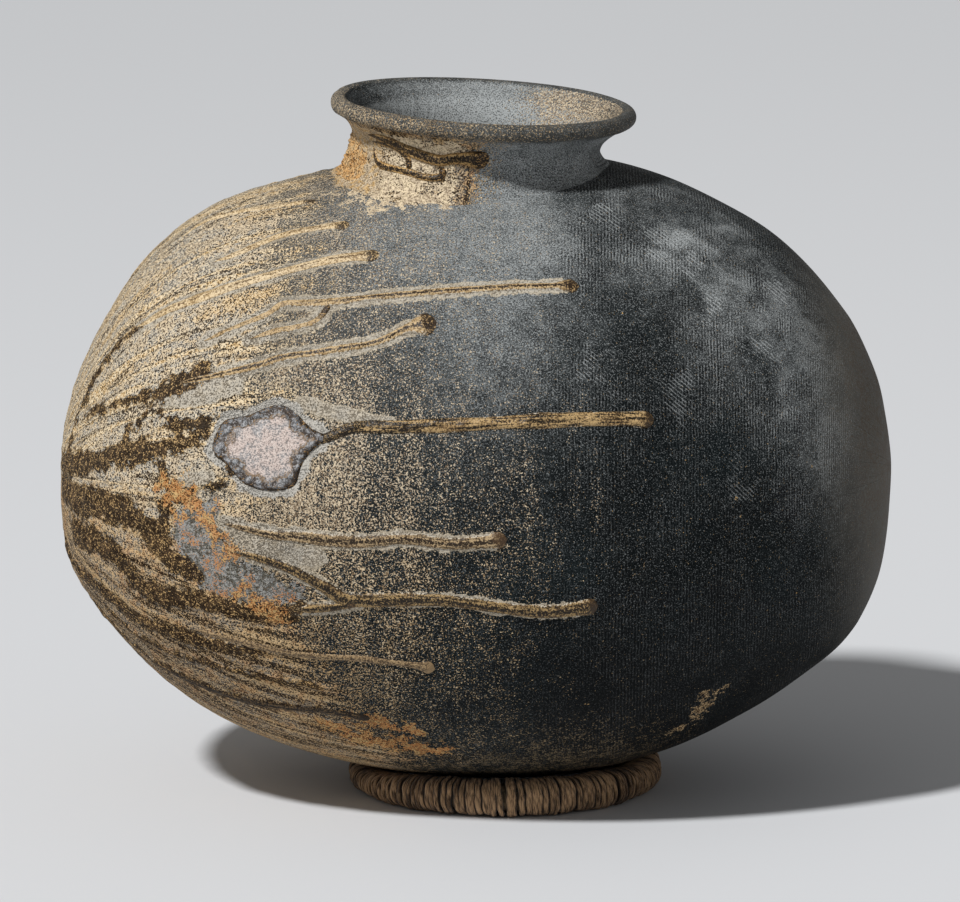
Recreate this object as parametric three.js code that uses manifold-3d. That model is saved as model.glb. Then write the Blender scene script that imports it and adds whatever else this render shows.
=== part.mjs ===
// A recumbent stoneware jar: a barrel lying on its side, closed at one end by a luted disc, with a short
// flared neck on top and runs of fused ash glaze, resting on a ring wound with cord.
// Millimetres, +Z up, origin on the table under the middle of the barrel's length.
// X runs along the barrel towards the closing disc, and -Y is the front.

import * as THREE from "three";
import { mergeVertices } from "three/addons/utils/BufferGeometryUtils.js";
import Module from "manifold-3d";

// Barrel
const BARREL_LENGTH = 414;
const BELLY_RADIUS = 157.5;
const BELLY_OFFSET = 13; // from the middle of the length to the widest place
const BELLY_CLEARANCE = 7; // from the table to the lowest place of the belly
const LEFT_SWELL = 12.5; // belly radius less the radius of the left dome
const RIGHT_SWELL = 16.5; // belly radius less the radius of the right dome
const BARREL_WALL = 8;
const BELLY_COURSE_WIDTH = 168; // the course of the wall that carries the neck
const BARREL_SIDES = 40;

// Closing disc
const DISC_RADIUS = 76;
const DISC_RISE = 20;
const DISC_WALL = 8;

// Neck
const NECK_OFFSET = 1; // from the middle of the barrel's length to the neck's axis
const NECK_WAIST_RADIUS = 61;
const NECK_FOOT_RADIUS = 66;
const NECK_WALL = 8;
const NECK_TILT = 3.2; // degrees, towards the closing disc
const RIM_RADIUS = 76;
const RIM_HEIGHT = 22; // from the top of the barrel to the widest place of the lip
const LIP_RADIUS = 4.2;
const NECK_SIDES = 40;

// Glaze
const RUN_WIDTH = 8;
const RUN_HEIGHT = 1.6;
const RUN_STEP = 12; // length of a run between two of its sections
const SCAR_THICKNESS = 2.2;
const SCAR_CENTRE = { x: -BARREL_LENGTH / 4, angle: 14.3 };
const SCAR_HALF_LENGTH = 28;
const SCAR_HALF_WIDTH = 21;
const CRUST_REACH = 13;

// Ring
const RING_OFFSET = 14.5; // from the middle of the barrel's length to the ring's axis
const RING_RADIUS = 69.5; // to the middle of the ring's section
const RING_WIDTH = 19;
const RING_HEIGHT = 19; // where nothing presses on it
const RING_SIDES = 40;
const CORD_DIAMETER = 3.8;
const CORD_TURNS = 84;
const CORD_STEPS = 8;
const CORD_SIDES = 5;

// Gaps between touching pieces
const SEAT_GAP = 0.3;
const GLAZE_GAP = 0.35;
const CORE_GAP = 0.4;

const AXIS_HEIGHT = BELLY_CLEARANCE + BELLY_RADIUS;
const LEFT_POLE = -BARREL_LENGTH / 2;
const RIGHT_POLE = BARREL_LENGTH / 2;
const SEAM_X = RIGHT_POLE - DISC_RISE;
const NECK_SINK = -BELLY_RADIUS / 5; // the neck's foot before the barrel cuts it
const NECK_WAIST_HEIGHT = RIM_HEIGHT / 8;

const wasm = await Module();
wasm.setup();

// Barrel outline: four tangent arcs, walked by the angle of their outward normal, 0 at the left pole and
// a quarter turn at the widest place.
function barrelArcs() {
  const leftRadius = BELLY_RADIUS - LEFT_SWELL;
  const rightRadius = BELLY_RADIUS - RIGHT_SWELL;
  const leftCentre = LEFT_POLE + leftRadius;
  const rightCentre = SEAM_X - Math.sqrt(rightRadius ** 2 - DISC_RADIUS ** 2);
  const bellyArc = (domeRadius, run) =>
    (run ** 2 + BELLY_RADIUS ** 2 - domeRadius ** 2) / (2 * (BELLY_RADIUS - domeRadius));
  const leftBelly = bellyArc(leftRadius, BELLY_OFFSET - leftCentre);
  const rightBelly = bellyArc(rightRadius, rightCentre - BELLY_OFFSET);
  const leftMeet = Math.acos((BELLY_OFFSET - leftCentre) / (leftBelly - leftRadius));
  const rightMeet = Math.PI - Math.acos((rightCentre - BELLY_OFFSET) / (rightBelly - rightRadius));
  const seam = Math.PI - Math.asin(DISC_RADIUS / rightRadius);
  const quarter = Math.PI / 2;
  return [
    { x: leftCentre, r: 0, radius: leftRadius, from: 0, to: leftMeet, steps: 8 },
    { x: BELLY_OFFSET, r: BELLY_RADIUS - leftBelly, radius: leftBelly, from: leftMeet, to: quarter, steps: 5 },
    { x: BELLY_OFFSET, r: BELLY_RADIUS - rightBelly, radius: rightBelly, from: quarter, to: rightMeet, steps: 6 },
    { x: rightCentre, r: 0, radius: rightRadius, from: rightMeet, to: seam, steps: 3 },
  ];
}

const ARCS = barrelArcs();

function arcPoint(arc, angle, inset) {
  const radius = arc.radius - inset;
  return new THREE.Vector2(arc.r + radius * Math.sin(angle), arc.x - radius * Math.cos(angle));
}

// Points [radius, x] of the barrel outline, moved inwards by the inset, from the left pole to the seam.
function barrelOutline(inset, fineness = 1) {
  const points = [];
  ARCS.forEach((arc, index) => {
    const steps = Math.ceil(arc.steps * fineness);
    for (let step = index === 0 ? 0 : 1; step <= steps; step += 1) {
      points.push(arcPoint(arc, arc.from + ((arc.to - arc.from) * step) / steps, inset));
    }
  });
  points[0].x = 0;
  return points;
}

function barrelRadius(x) {
  const arc = ARCS.find((one) => x <= arcPoint(one, one.to, 0).y) ?? ARCS[ARCS.length - 1];
  return arc.r + Math.sqrt(Math.max(arc.radius ** 2 - (x - arc.x) ** 2, 0));
}

// Point on the barrel at x and an angle in degrees above the front, lifted off the surface.
function barrelPoint(x, angle, lift) {
  const arc = ARCS.find((one) => x <= arcPoint(one, one.to, 0).y) ?? ARCS[ARCS.length - 1];
  const radius = barrelRadius(x);
  const normal = new THREE.Vector2((x - arc.x) / arc.radius, (radius - arc.r) / arc.radius);
  const reach = radius + lift * normal.y;
  const turn = THREE.MathUtils.degToRad(angle);
  return new THREE.Vector3(
    x + lift * normal.x,
    -reach * Math.cos(turn),
    AXIS_HEIGHT + reach * Math.sin(turn),
  );
}

function undersideHeight(x, y) {
  return AXIS_HEIGHT - Math.sqrt(barrelRadius(x) ** 2 - y ** 2);
}

// Solid of revolution about the barrel's axis.
function turnedAlongX(points, sides) {
  const geometry = new THREE.LatheGeometry(points, sides);
  geometry.rotateZ(-Math.PI / 2);
  geometry.translate(0, 0, AXIS_HEIGHT);
  return geometry;
}

function solidOf(geometry) {
  const bare = geometry.clone();
  bare.deleteAttribute("normal");
  bare.deleteAttribute("uv");
  const merged = mergeVertices(bare, 1e-4);
  return new wasm.Manifold(
    new wasm.Mesh({
      numProp: 3,
      vertProperties: new Float32Array(merged.attributes.position.array),
      triVerts: new Uint32Array(merged.index.array),
    }),
  );
}

function geometryOf(solid) {
  const mesh = solid.getMesh();
  const geometry = new THREE.BufferGeometry();
  geometry.setAttribute("position", new THREE.BufferAttribute(new Float32Array(mesh.vertProperties), 3));
  geometry.setIndex(new THREE.BufferAttribute(new Uint32Array(mesh.triVerts), 1));
  return geometry;
}

function skinOf(points, faces) {
  const geometry = new THREE.BufferGeometry();
  const places = new Float32Array(points.flatMap((point) => point.toArray()));
  geometry.setAttribute("position", new THREE.BufferAttribute(places, 3));
  geometry.setIndex(faces);
  return geometry;
}

// Two triangles for each side between two rings of equal count, given the places of their first points.
function bandFaces(here, there, count) {
  const faces = [];
  for (let side = 0; side < count; side += 1) {
    const next = (side + 1) % count;
    faces.push(here + side, here + next, there + next, here + side, there + next, there + side);
  }
  return faces;
}

// Closed skin through rings of equal count, capped at both ends by fans from the given middles.
function loft(rings, startMiddle, endMiddle) {
  const count = rings[0].length;
  const points = [startMiddle, ...rings.flat(), endMiddle];
  const end = points.length - 1;
  const faces = [];
  rings.slice(1).forEach((_, ring) => {
    faces.push(...bandFaces(1 + ring * count, 1 + (ring + 1) * count, count));
  });
  for (let side = 0; side < count; side += 1) {
    const next = (side + 1) % count;
    faces.push(0, 1 + next, 1 + side, end, end - count + side, end - count + next);
  }
  return skinOf(points, faces);
}

function middleOf(points) {
  const sum = points.reduce((total, point) => total.add(point), new THREE.Vector3());
  return sum.divideScalar(points.length);
}

// Barrel wall and closing disc

function neckFrame() {
  const frame = new THREE.Matrix4().makeRotationY(THREE.MathUtils.degToRad(NECK_TILT));
  frame.setPosition(NECK_OFFSET, 0, AXIS_HEIGHT + BELLY_RADIUS);
  return frame;
}

// Wall of the barrel, with the hole under the neck.
function barrelWall() {
  const shell = solidOf(
    turnedAlongX([...barrelOutline(0), ...barrelOutline(BARREL_WALL, 0.5).reverse()], BARREL_SIDES),
  );
  const bore = new THREE.CylinderGeometry(
    NECK_WAIST_RADIUS - NECK_WALL,
    NECK_WAIST_RADIUS - NECK_WALL,
    BELLY_RADIUS,
    NECK_SIDES,
  );
  bore.rotateX(Math.PI / 2);
  bore.applyMatrix4(neckFrame());
  return shell.subtract(solidOf(bore));
}

// One course of the wall, between two places along the barrel.
function wallCourse(wall, from, to) {
  const half = SEAT_GAP / 2;
  return geometryOf(wall.trimByPlane([1, 0, 0], from + half).trimByPlane([-1, 0, 0], half - to));
}

// Points [radius, x] of a cap on the barrel's axis, from its edge to its pole.
function capOutline(edge, poleX) {
  const rise = poleX - edge.y;
  const radius = (edge.x ** 2 + rise ** 2) / (2 * rise);
  const steps = 5;
  return Array.from({ length: steps + 1 }, (_, step) => {
    const angle = Math.asin(edge.x / radius) * (1 - step / steps);
    return new THREE.Vector2(radius * Math.sin(angle), poleX - radius + radius * Math.cos(angle));
  });
}

// Disc that closes the barrel, with its edge parallel to the barrel's mouth.
function closingDisc() {
  const dome = ARCS[ARCS.length - 1];
  const gap = new THREE.Vector2(Math.cos(dome.to), Math.sin(dome.to)).multiplyScalar(SEAT_GAP);
  const outer = capOutline(arcPoint(dome, dome.to, 0).add(gap), RIGHT_POLE);
  const inner = capOutline(arcPoint(dome, dome.to, DISC_WALL).add(gap), RIGHT_POLE - DISC_WALL);
  return turnedAlongX([...inner.reverse(), ...outer], BARREL_SIDES);
}

// Neck, turned about its own leaning axis

// Points [radius, height] of the neck's outer side, from its buried foot to the lip.
function neckSide() {
  const side = new THREE.Path();
  side.moveTo(NECK_FOOT_RADIUS, NECK_SINK);
  side.lineTo(NECK_FOOT_RADIUS, -RIM_HEIGHT / 2);
  side.quadraticCurveTo(NECK_WAIST_RADIUS, -RIM_HEIGHT / 3, NECK_WAIST_RADIUS, NECK_WAIST_HEIGHT);
  side.quadraticCurveTo(NECK_WAIST_RADIUS, RIM_HEIGHT / 2, RIM_RADIUS - LIP_RADIUS, RIM_HEIGHT - LIP_RADIUS);
  return side.getPoints(4);
}

function neckOutline() {
  const bore = NECK_WAIST_RADIUS - NECK_WALL;
  const rest = new THREE.Path();
  rest.absarc(RIM_RADIUS - LIP_RADIUS, RIM_HEIGHT, LIP_RADIUS, -Math.PI / 2, Math.PI * 0.85, false);
  rest.quadraticCurveTo(bore, RIM_HEIGHT * 0.75, bore, 0);
  rest.lineTo(bore, NECK_SINK);
  const side = neckSide();
  return [...side, ...rest.getPoints(4).slice(1), side[0].clone()];
}

function turnedNeck(outline) {
  const geometry = new THREE.LatheGeometry(outline, NECK_SIDES);
  geometry.rotateX(Math.PI / 2);
  geometry.applyMatrix4(neckFrame());
  return geometry;
}

function barrelBody(growth) {
  const points = barrelOutline(-growth);
  points.push(new THREE.Vector2(0, SEAM_X + growth));
  return solidOf(turnedAlongX(points, BARREL_SIDES));
}

function neckCollar() {
  return geometryOf(solidOf(turnedNeck(neckOutline())).subtract(barrelBody(SEAT_GAP)));
}

// Outer radius of the neck at a height above the top of the barrel.
function neckRadius(height) {
  const rise = Math.max(height - NECK_WAIST_HEIGHT, 0) / (RIM_HEIGHT - LIP_RADIUS - NECK_WAIST_HEIGHT);
  return NECK_WAIST_RADIUS + (RIM_RADIUS - LIP_RADIUS - NECK_WAIST_RADIUS) * rise ** 2;
}

// Glaze

// Section of a run, as shares of its half width and of its height.
const BEAD = [
  [-1, 0],
  [1, 0],
  [0.6, 0.75],
  [0, 1],
  [-0.6, 0.75],
];

// Run of fused ash along the barrel: a low bead that swells to a rounded tip.
function barrelRun(run) {
  const rings = [];
  const length = (run.end - run.start) * BARREL_LENGTH;
  const steps = Math.ceil(length / RUN_STEP);
  for (let step = 0; step <= steps; step += 1) {
    const along = step / steps;
    const x = run.start * BARREL_LENGTH + length * along;
    const angle = run.from + (run.to - run.from) * along + run.sway * Math.sin(along * 9);
    const swell = 0.45 + 0.25 * along + 0.3 * Math.exp(-(((along - 0.93) / 0.06) ** 2));
    const taper = Math.min(1, along * 8 + 0.25, (1 - along) * 10 + 0.4);
    const half = ((run.width * RUN_WIDTH) / 2) * swell * taper;
    const height = RUN_HEIGHT * swell * taper;
    const spread = THREE.MathUtils.radToDeg(half / barrelRadius(x));
    rings.push(BEAD.map(([across, up]) => barrelPoint(x, angle + across * spread, GLAZE_GAP + up * height)));
  }
  return loft(rings, middleOf(rings[0]), middleOf(rings[rings.length - 1]));
}

// Flat fragment fused to the barrel, an uneven five-cornered patch.
function kilnScar() {
  const corners = 15;
  const ring = (share, lift) => {
    const points = [];
    for (let corner = 0; corner < corners; corner += 1) {
      const turn = (corner / corners) * 2 * Math.PI;
      const size = share * (1 + 0.09 * Math.cos(5 * turn + 0.6) + 0.05 * Math.cos(2 * turn + 2));
      const x = SCAR_CENTRE.x + SCAR_HALF_LENGTH * size * Math.cos(turn);
      const rise = THREE.MathUtils.radToDeg((SCAR_HALF_WIDTH * size * Math.sin(turn)) / barrelRadius(x));
      points.push(barrelPoint(x, SCAR_CENTRE.angle + rise, lift));
    }
    return points;
  };
  const top = GLAZE_GAP + SCAR_THICKNESS;
  const middle = (lift) => barrelPoint(SCAR_CENTRE.x, SCAR_CENTRE.angle, lift);
  const rings = [ring(0.5, GLAZE_GAP), ring(1, GLAZE_GAP), ring(0.9, top), ring(0.5, top * 0.8)];
  return loft(rings, middle(GLAZE_GAP), middle(top * 0.8));
}

// Thick ash in the corner between the neck and the left shoulder.
function neckCrust() {
  const lump = new THREE.SphereGeometry(1, 12, 8);
  lump.scale(CRUST_REACH * 0.7, CRUST_REACH * 2.2, CRUST_REACH * 0.8);
  lump.rotateZ(Math.PI / 15);
  lump.translate(
    NECK_OFFSET - NECK_WAIST_RADIUS,
    -CRUST_REACH * 0.8,
    AXIS_HEIGHT + BELLY_RADIUS - CRUST_REACH / 2,
  );
  const side = neckSide().map((point) => new THREE.Vector2(point.x + GLAZE_GAP * 1.5, point.y));
  const plug = [new THREE.Vector2(0, NECK_SINK), ...side, new THREE.Vector2(0, RIM_HEIGHT - LIP_RADIUS)];
  const clear = solidOf(lump).subtract(barrelBody(GLAZE_GAP));
  return geometryOf(clear.subtract(solidOf(turnedNeck(plug))));
}

// Drip across the front of the neck, with its rounded tip to the right.
function neckRun() {
  const frame = neckFrame();
  const rings = [];
  const steps = 9;
  for (let step = 0; step <= steps; step += 1) {
    const along = step / steps;
    const turn = THREE.MathUtils.degToRad(-146 + 62 * along);
    const height = RIM_HEIGHT * (0.34 - 0.12 * Math.sin(along * Math.PI));
    const swell = 0.6 + 0.4 * along;
    const taper = Math.min(1, along * 6 + 0.3, (1 - along) * 6 + 0.4);
    const half = 3 * swell * taper;
    const rise = RUN_HEIGHT * swell * taper;
    rings.push(
      BEAD.map(([across, up]) => {
        const level = height + across * half;
        const radius = neckRadius(level) + GLAZE_GAP + up * rise;
        const point = new THREE.Vector3(radius * Math.cos(turn), radius * Math.sin(turn), level);
        return point.applyMatrix4(frame);
      }),
    );
  }
  return loft(rings, middleOf(rings[0]), middleOf(rings[rings.length - 1]));
}

// Ring

const FACET = Math.PI / CORD_STEPS;
const CORD_RADIUS = CORD_DIAMETER / 2;
const CORD_FLAT = CORD_DIAMETER / 10;
const CORD_REACH = CORD_RADIUS * Math.cos(Math.PI / CORD_SIDES);
const HALF_WIDTH = RING_WIDTH / 2 - CORD_REACH;

// Height of the ring at a turn about its axis: its free height, or less where the jar presses on it.
function ringHeight(turn) {
  const reach = RING_RADIUS - HALF_WIDTH * Math.tan(FACET) - CORD_RADIUS;
  const under = undersideHeight(RING_OFFSET + reach * Math.cos(turn), reach * Math.sin(turn)) - SEAT_GAP;
  const soft = 1.5;
  const gap = Math.max(soft - Math.abs(under - RING_HEIGHT), 0) / soft;
  return Math.min(under, RING_HEIGHT) - (gap ** 2 * soft) / 4;
}

// Half the height of the cord's middle line over the core at a turn about the ring's axis.
function halfHeight(turn) {
  return (ringHeight(turn) + CORD_FLAT) / 2 - CORD_REACH;
}

// Point of the ring's section at a turn about its axis, grown or shrunk from the cord's middle line.
function ringPoint(turn, around, inset) {
  const corner = 1 / Math.cos(FACET);
  const half = halfHeight(turn);
  const radius = RING_RADIUS + (HALF_WIDTH - inset) * corner * Math.cos(around);
  const height = half + CORD_REACH - CORD_FLAT + (half - inset) * corner * Math.sin(around);
  return new THREE.Vector3(RING_OFFSET + radius * Math.cos(turn), radius * Math.sin(turn), height);
}

function ringCore() {
  const points = [];
  const faces = [];
  for (let ring = 0; ring < RING_SIDES; ring += 1) {
    for (let side = 0; side < CORD_STEPS; side += 1) {
      const turn = (ring / RING_SIDES) * 2 * Math.PI;
      points.push(ringPoint(turn, -(2 * side + 1) * FACET, CORD_RADIUS + CORE_GAP));
    }
    faces.push(...bandFaces(ring * CORD_STEPS, ((ring + 1) % RING_SIDES) * CORD_STEPS, CORD_STEPS));
  }
  return skinOf(points, faces);
}

// Middle line of the cord: one unbroken winding about the core, with a straight end one cord long.
function windingLine() {
  const line = [];
  const count = CORD_TURNS * CORD_STEPS - CORD_STEPS / 2;
  for (let step = 0; step <= count; step += 1) {
    const turn = (step / (CORD_TURNS * CORD_STEPS)) * 2 * Math.PI;
    line.push(ringPoint(turn, (2 * step + 1) * FACET, 0));
  }
  const start = line[0].clone().sub(line[1]).setLength(CORD_DIAMETER).add(line[0]);
  const end = line[count].clone().sub(line[count - 1]).setLength(CORD_DIAMETER).add(line[count]);
  return [start, ...line, end];
}

// Least gap between the cord's turns, on the points of its middle line and halfway between them.
function windingGap(line) {
  const fine = line.flatMap((point, index) =>
    index === 0 ? [point] : [point.clone().lerp(line[index - 1], 0.5), point],
  );
  let least = Infinity;
  for (let one = 0; one < fine.length; one += 1) {
    for (let other = one + CORD_STEPS; other < fine.length; other += 1) {
      least = Math.min(least, fine[one].distanceTo(fine[other]));
    }
  }
  return least - CORD_DIAMETER;
}

function ringWinding() {
  const line = windingLine();
  console.log(`least gap of the winding to itself: ${windingGap(line).toFixed(2)} mm`);
  const rings = line.map((point, index) => {
    const before = line[Math.max(index - 1, 0)];
    const after = line[Math.min(index + 1, line.length - 1)];
    const along = after.clone().sub(before).normalize();
    const turn = Math.atan2(point.y, point.x - RING_OFFSET);
    const middle = ringPoint(turn, 0, HALF_WIDTH);
    const outward = point.clone().sub(middle);
    outward.addScaledVector(along, -outward.dot(along)).normalize();
    const side = along.clone().cross(outward);
    return Array.from({ length: CORD_SIDES }, (_, corner) => {
      const angle = ((2 * corner + 1) * Math.PI) / CORD_SIDES;
      return point
        .clone()
        .addScaledVector(outward, CORD_RADIUS * Math.cos(angle))
        .addScaledVector(side, CORD_RADIUS * Math.sin(angle));
    });
  });
  const cord = solidOf(loft(rings, line[0], line[line.length - 1]));
  const span = 4 * (RING_RADIUS + RING_WIDTH);
  const floor = new THREE.BoxGeometry(span, span, CORD_DIAMETER);
  floor.translate(RING_OFFSET, 0, -CORD_DIAMETER / 2);
  return geometryOf(cord.subtract(solidOf(floor)));
}

// Assembly

const STONEWARE = { color: 0x45484a, roughness: 0.8, metalness: 0 };
const GLAZE = { color: 0x8a6a45, roughness: 0.4, metalness: 0 };
const FRAGMENT = { color: 0xb4a69c, roughness: 0.85, metalness: 0 };
const CORD = { color: 0x644a34, roughness: 0.95, metalness: 0 };
const PADDING = { color: 0x3c2d20, roughness: 0.95, metalness: 0 };

// Runs on the front, from the top down: ends as shares of the barrel's length, angles above the front in
// degrees, and width as a share of a plain run's.
const FRONT_RUNS = [
  { start: -0.348, end: -0.191, from: 79, to: 73.5, width: 0.625, sway: 0.4 },
  { start: -0.309, end: -0.15, from: 59.8, to: 62.4, width: 0.75, sway: 0.5 },
  { start: -0.401, end: -0.114, from: 51, to: 53, width: 0.875, sway: 0.5 },
  { start: -0.319, end: 0.123, from: 41.5, to: 45.3, width: 1, sway: 0.5 },
  { start: -0.348, end: -0.043, from: 28.5, to: 36.8, width: 1, sway: 0.4 },
  { start: -0.171, end: 0.208, from: 17.2, to: 19.8, width: 1.25, sway: 0.3 },
  { start: -0.295, end: 0.036, from: -2.4, to: -2.4, width: 1, sway: 0.4 },
  { start: -0.283, end: 0.145, from: -9.5, to: -15.5, width: 1.125, sway: 0.8 },
  { start: -0.333, end: -0.046, from: -31, to: -28.3, width: 0.75, sway: 0.4 },
  { start: -0.386, end: -0.126, from: -57, to: -44, width: 0.75, sway: 0.4 },
];

// Runs on the back, which are a guess in the manner of the front ones.
const BACK_RUNS = [
  { start: -0.377, end: -0.174, from: 108, to: 107, width: 0.75, sway: 0.5 },
  { start: -0.362, end: 0.068, from: 127, to: 130, width: 1, sway: 0.5 },
  { start: -0.396, end: -0.072, from: 147, to: 145, width: 0.875, sway: 0.4 },
  { start: -0.338, end: 0.159, from: 164, to: 166, width: 1.125, sway: 0.4 },
  { start: -0.295, end: 0.036, from: 182.4, to: 182.4, width: 1, sway: -0.4 },
  { start: -0.29, end: -0.087, from: 208, to: 210, width: 0.75, sway: 0.4 },
];

const part = new THREE.Group();
part.name = "recumbent_jar";

function addPiece(name, geometry, look) {
  const mesh = new THREE.Mesh(geometry, new THREE.MeshStandardMaterial(look));
  mesh.name = name;
  part.add(mesh);
}

addPiece("ring_core", ringCore(), PADDING);
addPiece("ring_winding", ringWinding(), CORD);
const wall = barrelWall();
const bowlSeam = NECK_OFFSET - BELLY_COURSE_WIDTH / 2;
const shoulderSeam = NECK_OFFSET + BELLY_COURSE_WIDTH / 2;
addPiece("end_bowl", wallCourse(wall, LEFT_POLE - BARREL_WALL, bowlSeam), STONEWARE);
addPiece("belly_course", wallCourse(wall, bowlSeam, shoulderSeam), STONEWARE);
addPiece("shoulder_course", wallCourse(wall, shoulderSeam, RIGHT_POLE + BARREL_WALL), STONEWARE);
addPiece("closing_disc", closingDisc(), STONEWARE);
addPiece("neck_collar", neckCollar(), STONEWARE);
addPiece("neck_ash_crust", neckCrust(), GLAZE);
addPiece("neck_glaze_run", neckRun(), GLAZE);
addPiece("kiln_scar", kilnScar(), FRAGMENT);
FRONT_RUNS.forEach((run, index) => addPiece(`glaze_run_front_${index + 1}`, barrelRun(run), GLAZE));
BACK_RUNS.forEach((run, index) => addPiece(`glaze_run_back_${index + 1}`, barrelRun(run), GLAZE));

export default part;
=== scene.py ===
"""The looks of a recumbent stoneware jar on its cord-wound ring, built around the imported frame.

Lengths are millimetres until a mesh is made, which is in metres. X runs along the barrel towards its
flatter end, the front is -Y, and a place's angle on the barrel is counted from the front upwards.
"""
import logging
import math
from dataclasses import dataclass, replace
from enum import Enum
from typing import Any, Callable, Sequence

import bpy
import numpy as np
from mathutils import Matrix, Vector


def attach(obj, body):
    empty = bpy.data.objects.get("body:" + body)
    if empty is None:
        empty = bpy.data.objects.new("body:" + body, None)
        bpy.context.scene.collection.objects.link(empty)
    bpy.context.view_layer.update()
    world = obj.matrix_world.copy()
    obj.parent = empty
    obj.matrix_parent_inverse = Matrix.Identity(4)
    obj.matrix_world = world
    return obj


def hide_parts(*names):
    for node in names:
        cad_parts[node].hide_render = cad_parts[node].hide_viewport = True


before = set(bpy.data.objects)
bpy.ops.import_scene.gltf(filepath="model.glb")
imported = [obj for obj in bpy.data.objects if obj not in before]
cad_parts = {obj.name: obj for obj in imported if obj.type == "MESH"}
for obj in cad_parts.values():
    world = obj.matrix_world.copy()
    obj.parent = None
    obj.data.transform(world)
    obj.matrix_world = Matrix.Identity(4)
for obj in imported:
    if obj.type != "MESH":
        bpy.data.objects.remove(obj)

Array = np.ndarray
Material = bpy.types.Material
Colour = tuple[float, float, float]
Path = Sequence[tuple[float, float]]
Bands = Sequence[tuple[float, Path]]
Patch = tuple[float, float, float, float, float]
Fields = dict[str, Array]

LOG = logging.getLogger("recumbent_jar")
MM = 0.001
TAU = 2 * math.pi
JAR = "jar"
RING = "ring"
CREASE = math.radians(50.0)
FLOW_RADIUS = 150.0
NO_MARK = -20.0
NO_ASH = -150.0


def ease(low: float, high: float, value: Array) -> Array:
    """Smooth step: 3t² - 2t³ of the share t that the value has gone from low to high."""
    t = np.clip((np.asarray(value, float) - low) / (high - low), 0.0, 1.0)
    return t * t * (3.0 - 2.0 * t)


def hill(value: Array, centre: float, width: float) -> Array:
    """Bell: e to the power of minus the squared distance from the centre in widths."""
    return np.exp(-(((np.asarray(value, float) - centre) / width) ** 2))


def plateau(value: Array, start: float, full: float, fade: float, end: float) -> Array:
    """Share that rises smoothly from start to full and falls again from fade to end."""
    return ease(start, full, value) * (1 - ease(fade, end, value))


def circle(count: int) -> Array:
    """Evenly spaced angles around a full circle."""
    return TAU * np.arange(count) / count


def hashed(cells: Array, seed: int) -> Array:
    """Number from -1 to 1 for each cell: its whole coordinates times large primes, with their bits mixed.

    Args:
        cells: whole coordinates, three in a row.
        seed: number that picks one of many noises.

    Returns:
        One number for each row.
    """
    mixed = cells[:, 0] * 73856093 ^ cells[:, 1] * 19349663 ^ cells[:, 2] * 83492791
    mixed = (mixed ^ seed * 40503) * 1274126177 & 0xFFFFFFFF
    mixed = (mixed ^ mixed >> 15) * 2246822519 & 0xFFFFFFFF
    return ((mixed ^ mixed >> 13) & 0xFFFF) / 32767.5 - 1.0


def lattice_noise(places: Array, size: float, seed: int) -> Array:
    """Value noise: hashed numbers at the corners of cubes, blended by the smooth step of the place inside.

    Args:
        places: points, three coordinates last.
        size: side of a cube.
        seed: number that picks one of many noises.

    Returns:
        Numbers from -1 to 1, one for each point.
    """
    scaled = places.reshape(-1, 3) / size
    cell = np.floor(scaled).astype(np.int64)
    part = ease(0.0, 1.0, scaled - cell)
    total = np.zeros(len(scaled))
    for corner in np.ndindex(2, 2, 2):
        step = np.array(corner)
        weight = np.prod(np.where(step == 1, part, 1.0 - part), axis=1)
        total += weight * hashed(cell + step, seed)
    return total.reshape(places.shape[:-1])


def noises(places: Array, *layers: tuple[float, float, int]) -> Array:
    """Sum of value noises, each given by its strength, its size and its seed."""
    return sum(strength * lattice_noise(places, size, seed) for strength, size, seed in layers)


def points(x: Array | float, y: Array | float, z: Array | float) -> Array:
    """Points of three coordinates, which come last."""
    return np.stack(np.broadcast_arrays(x, y, z), -1)


def smooth_path(corners: Path, count: int) -> Array:
    """Even points on a smooth curve through the given ones: a Catmull-Rom spline walked by its chord.

    Args:
        corners: corner points of the path.
        count: points wanted.

    Returns:
        Array of count rows of two coordinates.
    """
    given = np.asarray(corners, float)
    ends = np.vstack([2 * given[0] - given[1], given, 2 * given[-1] - given[-2]])
    chord = np.hypot(np.diff(given[:, 0]), np.diff(given[:, 1]) * 2.2)
    knots = np.concatenate([[0.0], np.cumsum(chord)])
    want = np.linspace(0.0, knots[-1], count)
    part = np.clip(np.searchsorted(knots, want, side="right") - 1, 0, len(chord) - 1)
    t = ((want - knots[part]) / chord[part])[:, None]
    a, b, c, d = (ends[part + k] for k in range(4))
    return b + t / 2 * (c - a + t * (2 * a - 5 * b + 4 * c - d + t * (3 * (b - c) + d - a)))


def put_in_scene(name: str, data: bpy.types.ID) -> bpy.types.Object:
    """Makes an object of a mesh, a lamp or a camera and links it to the scene."""
    made = bpy.data.objects.new(name, data)
    bpy.context.scene.collection.objects.link(made)
    return made


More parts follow.
